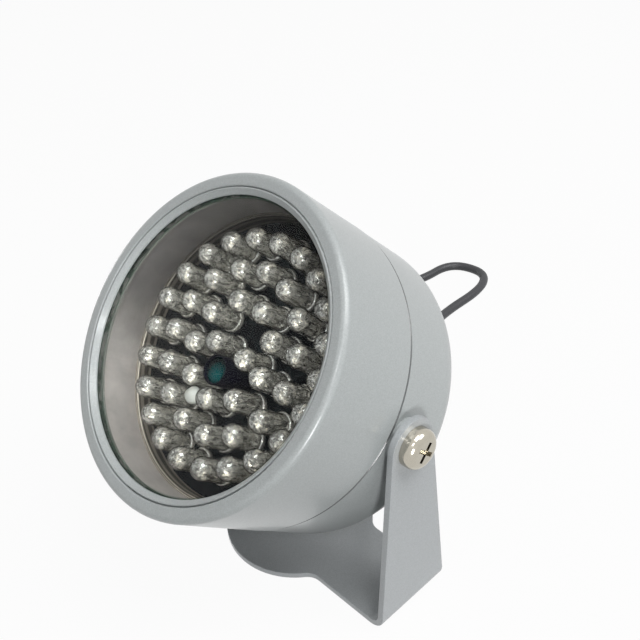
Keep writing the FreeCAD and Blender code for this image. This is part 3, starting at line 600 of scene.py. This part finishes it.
class ILLUMINATOR_OT_cord(bpy.types.Operator):
    """Lay the supply cord from the boot behind the head to the socket on the floor"""
    bl_idname = "illuminator.cord"
    bl_label = "Supply cord"

    def execute(self, context):
        sizes = context.scene.illuminator_cord
        line = bpy.data.curves.new("cord_line", "CURVE")
        line.dimensions = "3D"
        line.resolution_u = 14
        line.use_fill_caps = True
        spline = line.splines.new("NURBS")
        spline.points.add(len(CORD_ROUTE) - 1)
        for point, spot in zip(spline.points, CORD_ROUTE):
            point.co = (*spot, 1.0)
        spline.order_u = 3
        spline.use_endpoint_u = True
        cord = bpy.data.objects.new("supply_cord", line)
        context.scene.collection.objects.link(cord)
        context.view_layer.update()
        flat = bpy.data.meshes.new_from_object(cord)
        bpy.data.meshes.remove(flat)
        line.bevel_depth = sizes.diameter / 2
        line.bevel_resolution = 5
        choose(cord)
        bpy.ops.object.convert(target="MESH")
        cord = context.object
        bpy.ops.object.mode_set(mode="EDIT")
        close_up(1e-6)
        bpy.ops.object.mode_set(mode="OBJECT")
        smooth(cord, 50)
        jacket = cord_jacket()
        finish_nodes(jacket, "power_cord", "cable_tail")
        cord.data.materials.clear()
        cord.data.materials.append(jacket)
        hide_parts("power_cord", "cable_tail")
        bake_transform(cord)
        return {"FINISHED"}


def cord_jacket():
    base = bpy.context.scene.illuminator_finish.cord
    return finish("Cord jacket", base, rough=(0.38, 0.52), grain=(1800.0, 0.18), depth=0.03,
                  marks=150.0)


# Housing and bracket
def paint(name, base):
    return finish(name, base, rough=(0.34, 0.42), metallic=0.05, specular=0.35, coat=0.4,
                  grain=(1100.0, 0.025), depth=0.012, flake=(7000.0, 0.10), marks=45.0)


def cup_paint(scene):
    """Paint with a painted shadow line behind the barrel's seam and painted shade low down."""
    material = paint("Cup paint", scene.illuminator_finish.housing)
    tree, vector, shade = reopened(material)
    behind = reckon(tree, "SUBTRACT", scene.illuminator_head.seam,
                    part_of(tree, on_head(tree, vector), "Z"))
    # Painted shadow of the gap just behind the barrel's seam
    painted_seam_shadow = spread(tree, behind, 0.30 * MM, 0.50 * MM, 0.25, 1.0)
    # Painted shade on the cup's underside, darker towards the bottom
    painted_shade_below = spread(tree, part_of(tree, vector, "Z"), 14 * MM, 32 * MM, 0.3, 1.0)
    shade(painted_seam_shadow, painted_shade_below)
    return material


class ILLUMINATOR_OT_housing(bpy.types.Operator):
    """Paint barrel and glass ring, and the rear cup with painted shade at its seam and low down
    """
    bl_idname = "illuminator.housing"
    bl_label = "Housing"

    def execute(self, context):
        base = context.scene.illuminator_finish.housing
        finish_nodes(paint("Housing paint", base), "front_barrel", "glass_ring")
        finish_nodes(cup_paint(context.scene), "rear_cup")
        return {"FINISHED"}


class ILLUMINATOR_OT_bracket(bpy.types.Operator):
    """Break the sharp edges of the folded bracket and paint it"""
    bl_idname = "illuminator.bracket"
    bl_label = "Bracket"

    def execute(self, context):
        coat = paint("Bracket paint", context.scene.illuminator_finish.bracket)
        finish_nodes(coat, "bracket")
        folded = clean_copy("bracket", "folded_bracket")
        bevel_edges(folded, 0.2 * MM, degrees=50)
        level = folded.modifiers.new("Flat sides", "WEIGHTED_NORMAL")
        level.keep_sharp = True
        bpy.ops.object.modifier_apply(modifier=level.name)
        put_on(folded, "bracket", coat)
        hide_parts("bracket")
        return {"FINISHED"}


# Window and sleeve
def window_glass(head):
    """Clear glass whose edge shows as a thin green line, darkened as painted shade under its
    ring.
    """
    material, tree, own, shader = clear_material("Flat glass", 1.30, (0.0, 0.01),
                                                 (0.96, 0.98, 0.97), mirrored=0.02)
    # Green at the glass's edge, darkened as painted shade cast by the ring
    edge = spread(tree, from_axis(tree, own), head.glass_edge - 0.5 * MM,
                  head.glass_edge - 0.1 * MM, 0.0, 1.0)
    tint = add(tree, "ShaderNodeMix", {
        "Factor": edge, "A": (0.97, 0.99, 0.98, 1), "B": (0.22, 0.34, 0.28, 1)},
        data_type="RGBA")
    tree.links.new(tint.outputs["Result"], shader.inputs["Base Color"])
    return material


def sleeve_metal():
    """Smooth metal with soft clouds, painted light low down and painted shade high up."""
    material = finish("Sleeve metal", (0.42, 0.385, 0.37), rough=(0.34, 0.40), metallic=0.6,
                      drawn=(500.0, 0.06), depth=0.001, marks=40.0, specular=0.3)
    tree, vector, shade = reopened(material)
    own = on_head(tree, vector)
    # Painted light low down and painted shade high up
    painted_light_and_shade = spread(tree, part_of(tree, own, "Y"), -18 * MM, 4 * MM, 1.2, 0.38,
                  interpolation_type="SMOOTHSTEP")
    clouds = effect(tree, "Handling marks", own, Scale=170.0, Low=0.82, High=1.12)
    shade(painted_light_and_shade, clouds["Value"])
    return material


def clamp_metal():
    """Metal with turning rings that double as painted highlights; painted light low, shade high.
    """
    material = finish("Clamp metal", (0.085, 0.076, 0.066), rough=(0.45, 0.52), metallic=0.8,
                      grain=(1500.0, 0.06), depth=0.003, specular=0.3)
    tree, vector, shade = reopened(material)
    own = on_head(tree, vector)
    # Painted light low down and painted shade high up
    painted_light_and_shade = spread(tree, part_of(tree, own, "Y"), -12 * MM, 14 * MM, 3.0, 0.7)
    # Fine rings from turning, painted strongly light and dark so that they also serve as painted
    # highlight lines
    turn, rings_apart = 2 * math.pi, 0.42 * MM
    rings = reckon(tree, "SINE", reckon(tree, "MULTIPLY", from_axis(tree, own, along=0.7),
                                        turn / rings_apart))
    shade(painted_light_and_shade, spread(tree, rings, -0.3, 0.6, 0.45, 1.5))
    return material


class ILLUMINATOR_OT_window(bpy.types.Operator):
    """Give the glass, its gasket, the sleeve and the clamp ring their finishes"""
    bl_idname = "illuminator.window"
    bl_label = "Window"

    def execute(self, context):
        finish_nodes(window_glass(context.scene.illuminator_head), "front_glass")
        rubber = finish("Black rubber", (0.02, 0.02, 0.02), rough=(0.6, 0.75),
                        grain=(1500.0, 0.2), depth=0.02)
        finish_nodes(rubber, "body_seal", "cable_grommet")
        grey = finish("Grey silicone", (0.13, 0.13, 0.12), rough=(0.4, 0.5),
                      grain=(1500.0, 0.08), depth=0.01, specular=0.3)
        finish_nodes(grey, "glass_gasket")
        finish_nodes(sleeve_metal(), "inner_sleeve")
        finish_nodes(clamp_metal(), "board_clamp_ring")
        return {"FINISHED"}


# Emitters
def emitter_body(sizes):
    """Clear body of one emitter: a collar, a straight rod and a domed top."""
    rod, collar, collar_top = sizes.body_radius, sizes.collar_radius, sizes.collar_height
    chamfer, lip, fillet = 0.08 * MM, 0.3 * MM, 0.12 * MM
    outline = [(collar - chamfer, 0), (collar, chamfer)]
    outline += round_over(collar - lip, collar_top - lip, lip, 0, 90, 4)
    outline += round_over(rod + fillet, collar_top + fillet, fillet, 270, 180, 2)
    outline += round_over(0, sizes.height - rod, rod, 0, 86, 11)
    outline += [(0, sizes.height)]
    return smooth(draw_out("emitter_body", outline, sides=28), 60)


def block(name, low, high, narrow=1.0):
    """A block between two corners, its top end drawn in to a share of its size."""
    clear_selection()
    bpy.ops.mesh.primitive_cube_add(size=1, location=[(a + b) / 2 for a, b in zip(low, high)])
    made = bpy.context.object
    made.name = name
    made.scale = [b - a for a, b in zip(low, high)]
    bpy.ops.object.transform_apply(location=True, rotation=True, scale=True)
    bpy.ops.object.mode_set(mode="EDIT")
    pick("FACE", lambda face: face.normal.z > 0.9)
    bpy.ops.transform.resize(value=(narrow, narrow, 1), center_override=(
        (low[0] + high[0]) / 2, (low[1] + high[1]) / 2, high[2]))
    bpy.ops.object.mode_set(mode="OBJECT")
    return bevel_edges(made, 0.04 * MM, segments=1)


def emitter_frame(sizes):
    """Silver frame inside one emitter: cup, flat anvil, second post, their legs and the die."""
    mouth, top, bowl = sizes.cup_radius, sizes.cup_top, sizes.cup_top - 0.55 * MM
    rim = mouth + 0.10 * MM
    cup = draw_out("emitter_cup", [
        (0.5 * MM, top - 1.5 * MM), (mouth * 0.85, top - 1.0 * MM), (rim, top - 0.2 * MM),
        (rim, top), (mouth, top), (mouth * 0.45, bowl), (0, bowl)], sides=12)
    low, foot, half, die = 0.1 * MM, 1.5 * MM, 0.25 * MM, 0.17 * MM
    pieces = [
        cup,
        block("anvil", (-1.55 * MM, -half, foot), (0.45 * MM, half, top - 1.1 * MM), 0.8),
        block("post", (0.75 * MM, -half, foot), (1.75 * MM, half, top - 0.1 * MM), 0.7),
        block("anvil_leg", (-1.5 * MM, -half, low), (-1.0 * MM, half, foot + low)),
        block("post_leg", (1.0 * MM, -half, low), (1.5 * MM, half, foot + low)),
        block("die", (-die, -die, top - 0.56 * MM), (die, die, top - 0.34 * MM)),
    ]
    return smooth(join("emitter_frame", pieces), 25)


def clear_epoxy(scene):
    """Clear moulding with painted shade at its outline and over its collar, painted light
    streaks, facets.
    """
    sizes, board = scene.illuminator_emitters, scene.illuminator_head.board_face
    material, tree, own, shader = clear_material("Clear epoxy", 1.53, (0.0, 0.03),
                                                 (0.95, 0.94, 0.90), clear=0.84, mirrored=0.9)
    height = part_of(tree, own, "Z")
    collar_top = board + sizes.collar_height
    # The collar band keeps its full colour and coat, free of the painted shade
    collar = spread(tree, height, collar_top, collar_top + 0.15 * MM, 1.0, 0.0)
    # Painted shade in a band just over the collar
    painted_neck_shade = spread(tree, height, collar_top + 0.1 * MM, collar_top + 0.4 * MM, 0.15, 1.0)
    # Painted shade where the surface turns away, as a dark outline
    turned_away = add(tree, "ShaderNodeLayerWeight", {"Blend": 0.5}).outputs["Facing"]
    outline = spread(tree, turned_away, 0.48, 0.64, 1.0, 0.08)
    # Painted light in broken streaks inside the body
    painted_light_streaks = effect(tree, "Broken light", own, Scale=1800.0, Stretch=0.3, From=0.46, To=0.50)
    painted_light_and_shade = reckon(tree, "MULTIPLY", reckon(tree, "MULTIPLY", painted_neck_shade, outline),
                  spread(tree, painted_light_streaks["Value"], 0.0, 1.0, 0.36, 1.0))
    fine = effect(tree, "Drawn lines", own, Scale=2400.0, Amount=0.3)
    tree.links.new(shaded(tree, tuple(scene.illuminator_finish.epoxy), fine["Shade"],
                          reckon(tree, "MAXIMUM", painted_light_and_shade, collar)), shader.inputs["Base Color"])

    dome = board + sizes.height - sizes.body_radius
    dome_starts, dome_goes_on = dome - 0.3 * MM, dome + 0.5 * MM
    tilt = spread(tree, height, dome_starts, dome_goes_on, 0.55, 0.28)
    facets = effect(tree, "Facets", own, Scale=1700.0, Stretch=0.6, Tilt=tilt)
    tree.links.new(facets["Normal"], shader.inputs["Normal"])
    broken = effect(tree, "Broken light", own, Scale=1700.0, Stretch=0.5, From=0.51, To=0.53)
    glints = reckon(tree, "MULTIPLY", broken["Value"],
                    spread(tree, height, dome_starts, dome_goes_on, 1.0, 0.6))
    tree.links.new(reckon(tree, "MAXIMUM", glints, collar), shader.inputs["Coat Weight"])
    shader.inputs["Coat IOR"].default_value = 3.6
    shader.inputs["Coat Roughness"].default_value = 0.03
    return material


def silver_plate(scene):
    """Silver with painted shade on the cup's floor, a slight painted highlight at its mouth,
    duller legs.
    """
    plate = finish("Silver plate", scene.illuminator_finish.silver, rough=(0.12, 0.28),
                   metallic=0.8, grain=(4500.0, 0.4), depth=0.04, flake=(2200.0, 0.9),
                   drawn=(2600.0, 0.7))
    tree, vector, shade = reopened(plate)
    height = part_of(tree, on_head(tree, vector), "Z")
    mouth = scene.illuminator_head.board_face + scene.illuminator_emitters.cup_top
    # Painted shade on the floor of the cup, and a little painted highlight at its mouth
    cup = spread(tree, height, mouth - 0.5 * MM, mouth - 0.15 * MM, 0.15, 1.1)
    legs = spread(tree, height, mouth - 0.9 * MM, mouth - 0.6 * MM, 0.8, 0.0)
    shade(reckon(tree, "MAXIMUM", cup, legs))
    return plate


class ILLUMINATOR_OT_emitters(bpy.types.Operator):
    """Model one clear emitter and set 48 of them in their rings on the board"""
    bl_idname = "illuminator.emitters"
    bl_label = "Emitters"

    # CAD node, how many, radius of the ring in metres, angle of the first in degrees
    rings = (
        ("leds_outer_ring", 22, 0.0241, 123.6),
        ("leds_second_ring", 15, 0.01755, 115.0),
        ("leds_third_ring", 9, 0.01075, 110.9),
        ("leds_centre_pair", 2, 0.0045962, 178.5),
    )

    def execute(self, context):
        sizes = context.scene.illuminator_emitters
        epoxy, silver = clear_epoxy(context.scene), silver_plate(context.scene)
        body, inside = emitter_body(sizes), emitter_frame(sizes)
        chance = random.Random(7)
        for node, count, radius, first in self.rings:
            bodies, frames = [], []
            for i in range(count):
                angle = math.radians(first) + i * 2 * math.pi / count
                lean = (Matrix.Rotation(chance.uniform(-1, 1) * sizes.lean, 4, "X")
                        @ Matrix.Rotation(chance.uniform(-1, 1) * sizes.lean, 4, "Y"))
                turned = Matrix.Rotation(angle + chance.uniform(-0.5, 0.5), 4, "Z")
                spot = board_place(radius, angle) @ lean @ turned
                bodies.append(place(copy_of(body), spot))
                frames.append(place(copy_of(inside), spot))
            clear = join(node.replace("leds", "bodies"), bodies)
            put_on(clear, "head", epoxy)
            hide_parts(node)
            put_on(join(node.replace("leds", "frames"), frames), "head", silver)
            finish_nodes(epoxy, node)
        discard(body)
        discard(inside)
        return {"FINISHED"}


# Board and sensor
def board_lacquer(base):
    """Dark lacquer that stands a little higher and lighter over copper tracks."""
    material, tree, vector, shader, _ = new_material("Board lacquer")
    own = on_head(tree, vector)
    tracks = add(tree, "ShaderNodeTexVoronoi", {"Vector": own, "Scale": 230.0},
                 feature="DISTANCE_TO_EDGE")
    lines = spread(tree, tracks.outputs["Distance"], 0.05, 0.09, 1.0, 0.0)
    fine = effect(tree, "Fine grain", own, Scale=3000.0, Amount=0.12)
    over_track = (base[0] * 2.4, base[1] * 2.6, base[2] * 2.2, 1)
    mixed = add(tree, "ShaderNodeMix", {"Factor": lines, "A": (*base, 1), "B": over_track},
                data_type="RGBA")
    tree.links.new(shaded(tree, mixed.outputs["Result"], fine["Shade"]),
                   shader.inputs["Base Color"])
    uneven_gloss(tree, own, shader, 150.0, 0.25, 0.4)
    shader.inputs["Specular IOR Level"].default_value = 0.05
    raised(tree, shader, lines, 0.03)
    return material


class ILLUMINATOR_OT_board(bpy.types.Operator):
    """Finish the emitter board with its dark lacquer over faint copper tracks"""
    bl_idname = "illuminator.board"
    bl_label = "Emitter board"

    def execute(self, context):
        finish_nodes(board_lacquer(context.scene.illuminator_finish.board), "led_board")
        return {"FINISHED"}


def cell_face(scene):
    """Teal face with fine lines across it, painted light beside its middle and painted shade to
    its rim.
    """
    sizes = scene.illuminator_sensor
    material, tree, vector, shader, _ = new_material("Cell face")
    own = on_head(tree, vector)
    waves = add(tree, "ShaderNodeTexWave", {"Vector": own, "Scale": 500.0}, bands_direction="X")
    lines = spread(tree, waves.outputs["Fac"], 0.3, 0.7, 0.55, 1.2)
    fine = effect(tree, "Fine grain", vector, Scale=2500.0, Amount=0.15)
    # Painted light beside the middle, fading to painted shade towards the hood's wall
    painted_light_spot = (sizes.centre_radius * math.cos(sizes.phase) + 0.8 * MM,
                 sizes.centre_radius * math.sin(sizes.phase) - 1.1 * MM, 0)
    rim = spread(tree, from_axis(tree, own, painted_light_spot), 0.8 * MM, 3.1 * MM, 1.0, 0.06)
    tree.links.new(shaded(tree, tuple(scene.illuminator_finish.cell), lines, rim,
                          fine["Shade"]), shader.inputs["Base Color"])
    uneven_gloss(tree, vector, shader, 300.0, 0.1, 0.2)
    shader.inputs["Specular IOR Level"].default_value = 0.08
    return material


class ILLUMINATOR_OT_sensor(bpy.types.Operator):
    """Round the sensor's hood and set its teal eye in it"""
    bl_idname = "illuminator.sensor"
    bl_label = "Light sensor"

    def execute(self, context):
        sizes = context.scene.illuminator_sensor
        spot = board_place(sizes.centre_radius, sizes.phase)
        plastic = finish("Hood plastic", (0.0012, 0.0012, 0.004), rough=(0.32, 0.45),
                         grain=(2200.0, 0.15), depth=0.01, specular=0.04)
        finish_nodes(plastic, "sensor_hood")
        outer, wall, high = sizes.hood_radius, sizes.hood_wall, sizes.hood_height
        lip = wall / 2
        outline = [(outer - wall, 0), (outer, 0), (outer, high - lip)]
        outline += round_over(outer - lip, high - lip, lip, 20, 160, 6)
        outline += [(outer - wall, high - lip), (outer - wall, 0)]
        hood = smooth(place(draw_out("sensor_hood_tube", outline, sides=40), spot), 50)
        put_on(hood, "head", plastic)
        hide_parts("sensor_hood")

        cell = cell_face(context.scene)
        finish_nodes(cell, "sensor_cell")
        radius, top, crown = sizes.eye_radius - 0.02 * MM, sizes.eye_height, 0.5 * MM
        outline = [(radius, 0)]
        outline += round_over(0, top - crown, radius, 0, 75, 5, rise=crown)
        outline += [(0, top)]
        eye = smooth(place(draw_out("sensor_eye", outline, sides=40), spot), 50)
        put_on(eye, "head", cell)
        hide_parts("sensor_cell")
        return {"FINISHED"}


class ILLUMINATOR_OT_silicone(bpy.types.Operator):
    """Shape the dab of silicone that holds an emitter"""
    bl_idname = "illuminator.silicone"
    bl_label = "Silicone dab"

    def execute(self, context):
        low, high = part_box("silicone_dab")
        white = finish("White silicone", context.scene.illuminator_finish.silicone,
                       rough=(0.25, 0.4), grain=(900.0, 0.03), depth=0.02, subsurface=0.4)
        finish_nodes(white, "silicone_dab")
        aside = Vector((0.8, 0.6, 0)) * MM
        foot = head_place().inverted() @ ((low + high) / 2) + aside
        foot.z = context.scene.illuminator_head.board_face
        # Radius and height, from its foot to its crown
        outline = [(1.3 * MM, 0), (1.4 * MM, 0.5 * MM), (1.2 * MM, 1.6 * MM),
                   (1.15 * MM, 3.6 * MM), (1.6 * MM, 5.3 * MM)]
        outline += round_over(0, 6.6 * MM, 1.95 * MM, 0, 72, 4, rise=1.5 * MM)
        outline += [(0, 8.15 * MM)]
        dab = draw_out("silicone_lump", outline, sides=24)
        lumps = bpy.data.textures.new("silicone_lumps", "CLOUDS")
        lumps.noise_scale = 1.6 * MM
        push = dab.modifiers.new("Lumps", "DISPLACE")
        push.texture, push.strength, push.mid_level = lumps, 0.5 * MM, 0.62
        choose(dab)
        bpy.ops.object.modifier_apply(modifier=push.name)
        smooth(place(dab, head_place() @ Matrix.Translation(foot)), 180)
        put_on(dab, "head", white)
        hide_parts("silicone_dab")
        return {"FINISHED"}


# Pivots, the back of the board, socket
class ILLUMINATOR_OT_pivots(bpy.types.Operator):
    """Finish the two pivot screws and their washers in nickel"""
    bl_idname = "illuminator.pivots"
    bl_label = "Pivot screws"

    def execute(self, context):
        nickel = finish("Nickel", (0.50, 0.47, 0.40), rough=(0.10, 0.20), metallic=1.0,
                        grain=(1600.0, 0.05), depth=0.004, marks=300.0)
        finish_nodes(nickel, "pivot_screws", "pivot_washers", "socket_sleeve", "socket_pin")
        return {"FINISHED"}


class ILLUMINATOR_OT_electronics(bpy.types.Operator):
    """Finish the parts on the back of the board and the leads inside"""
    bl_idname = "illuminator.electronics"
    bl_label = "Board's back"

    def execute(self, context):
        # Finish, colour, least and most roughness, and the nodes that have it
        finishes = (
            ("Chip plastic", (0.018, 0.018, 0.020), (0.5, 0.6), ("control_chip",
             "switch_transistor")),
            ("Nylon", (0.72, 0.70, 0.62), (0.4, 0.5), ("lead_header", "cable_tie")),
            ("Capacitor sleeve", (0.03, 0.05, 0.12), (0.25, 0.35), ("filter_capacitor",)),
            ("Resistor ceramic", (0.05, 0.055, 0.07), (0.3, 0.4), ("drive_resistors",)),
            ("Red insulation", (0.50, 0.02, 0.015), (0.35, 0.45), ("lead_red",)),
            ("Black insulation", (0.02, 0.02, 0.02), (0.35, 0.45), ("lead_black",)),
        )
        for name, base, rough, nodes in finishes:
            finish_nodes(finish(name, base, rough=rough, grain=(3000.0, 0.12), depth=0.01),
                         *nodes)
        return {"FINISHED"}


class ILLUMINATOR_OT_socket(bpy.types.Operator):
    """Finish the supply socket on the cord's end"""
    bl_idname = "illuminator.socket"
    bl_label = "Supply socket"

    def execute(self, context):
        moulded = finish("Moulded socket", (0.022, 0.022, 0.024), rough=(0.40, 0.55),
                         grain=(1500.0, 0.15), depth=0.03)
        finish_nodes(moulded, "socket_body")
        return {"FINISHED"}


# Stage
def seen_outright(tree):
    """1 for rays from the camera, a reflection or a clear piece, and 0 for spread light."""
    rays = add(tree, "ShaderNodeLightPath").outputs
    seen = reckon(tree, "MAXIMUM", rays["Is Camera Ray"], rays["Is Glossy Ray"])
    return reckon(tree, "MAXIMUM", seen, rays["Is Transmission Ray"])


class ILLUMINATOR_OT_stage(bpy.types.Operator):
    """Plain pale floor, even surround and soft lamps"""
    bl_idname = "illuminator.stage"
    bl_label = "Stage"

    # Name, place and size in metres. All of them face the head
    lamps = (
        ("key", (0.35, 0.05, 1.0), 0.5),
        ("side", (0.9, -0.55, 0.14), 0.25),
        ("back", (0.6, 0.45, 0.85), 0.5),
        ("left", (-0.9, -0.15, 0.12), 0.12),
        ("spark", (0.42, -0.42, 0.66), 0.10),
    )
    head_middle = Vector((0, 0, 0.05))
    floor_size = 8

    # How much of the floor is plain white to the camera. The rest of it keeps the shadow
    white_share, white_strength = 0.88, 1.08

    def execute(self, context):
        light = context.scene.illuminator_stage
        clear_selection()
        bpy.ops.mesh.primitive_plane_add(size=self.floor_size, location=(0, 0, -0.1 * MM))
        floor = context.object
        floor.name = "pale_floor"
        material = bpy.data.materials.new("Pale floor")
        material.use_nodes = True
        tree = material.node_tree
        tree.nodes.clear()
        part = reckon(tree, "MULTIPLY", seen_outright(tree), self.white_share)
        matt = add(tree, "ShaderNodeBsdfDiffuse", {"Color": (*light.floor, 1)})
        glow = add(tree, "ShaderNodeEmission", {"Color": (1, 1, 1, 1),
                   "Strength": self.white_strength})
        mixed = add(tree, "ShaderNodeMixShader", {0: part, 1: matt.outputs[0],
                    2: glow.outputs[0]})
        add(tree, "ShaderNodeOutputMaterial", {"Surface": mixed.outputs[0]})
        floor.data.materials.append(material)

        world = bpy.data.worlds.new("Surround")
        world.use_nodes = True
        tree = world.node_tree
        tree.nodes.clear()
        level = add(tree, "ShaderNodeMix", {"Factor": seen_outright(tree),
                    "A": light.surround, "B": 1.0}, data_type="FLOAT")
        sky = add(tree, "ShaderNodeBackground", {"Color": (1, 1, 1, 1),
                  "Strength": level.outputs["Result"]})
        add(tree, "ShaderNodeOutputWorld", {"Surface": sky.outputs[0]})
        context.scene.world = world
        for name, spot, size in self.lamps:
            clear_selection()
            bpy.ops.object.light_add(type="AREA", location=spot)
            lamp = context.object
            lamp.name = name + "_lamp"
            lamp.data.size = size
            lamp.data.energy = getattr(light, name)
            way = self.head_middle - Vector(spot)
            lamp.rotation_euler = way.to_track_quat("-Z", "Y").to_euler()
        context.scene.view_settings.view_transform = "Standard"
        return {"FINISHED"}


class ILLUMINATOR_PT_sidebar(bpy.types.Panel):
    """Sizes, colours and steps of the illuminator"""
    bl_label = "Illuminator"
    bl_idname = "ILLUMINATOR_PT_sidebar"
    bl_space_type = "VIEW_3D"
    bl_region_type = "UI"
    bl_category = "Illuminator"

    def draw(self, context):
        layout = self.layout
        for name, group in SETTINGS.items():
            box = layout.box()
            box.label(text=group.__name__)
            for key in group.__annotations__:
                box.prop(getattr(context.scene, name), key)
        for step in STEPS:
            layout.operator(step.bl_idname)


SETTINGS = {
    "illuminator_head": HeadPlace,
    "illuminator_emitters": EmitterSizes,
    "illuminator_sensor": SensorSizes,
    "illuminator_cord": CordSizes,
    "illuminator_finish": FinishColours,
    "illuminator_stage": StageLight,
}
STEPS = (
    ILLUMINATOR_OT_camera,
    ILLUMINATOR_OT_cord,
    ILLUMINATOR_OT_housing,
    ILLUMINATOR_OT_bracket,
    ILLUMINATOR_OT_window,
    ILLUMINATOR_OT_board,
    ILLUMINATOR_OT_emitters,
    ILLUMINATOR_OT_sensor,
    ILLUMINATOR_OT_silicone,
    ILLUMINATOR_OT_pivots,
    ILLUMINATOR_OT_electronics,
    ILLUMINATOR_OT_socket,
    ILLUMINATOR_OT_stage,
)
CLASSES = (*SETTINGS.values(), *STEPS, ILLUMINATOR_PT_sidebar)


def register():
    for made in CLASSES:
        bpy.utils.register_class(made)
    for name, group in SETTINGS.items():
        setattr(bpy.types.Scene, name, bpy.props.PointerProperty(type=group))


def unregister():
    for name in SETTINGS:
        delattr(bpy.types.Scene, name)
    for made in reversed(CLASSES):
        bpy.utils.unregister_class(made)


def main():
    register()
    for step in STEPS:
        family, name = step.bl_idname.split(".")
        getattr(getattr(bpy.ops, family), name)()


if __name__ == "__main__":
    main()
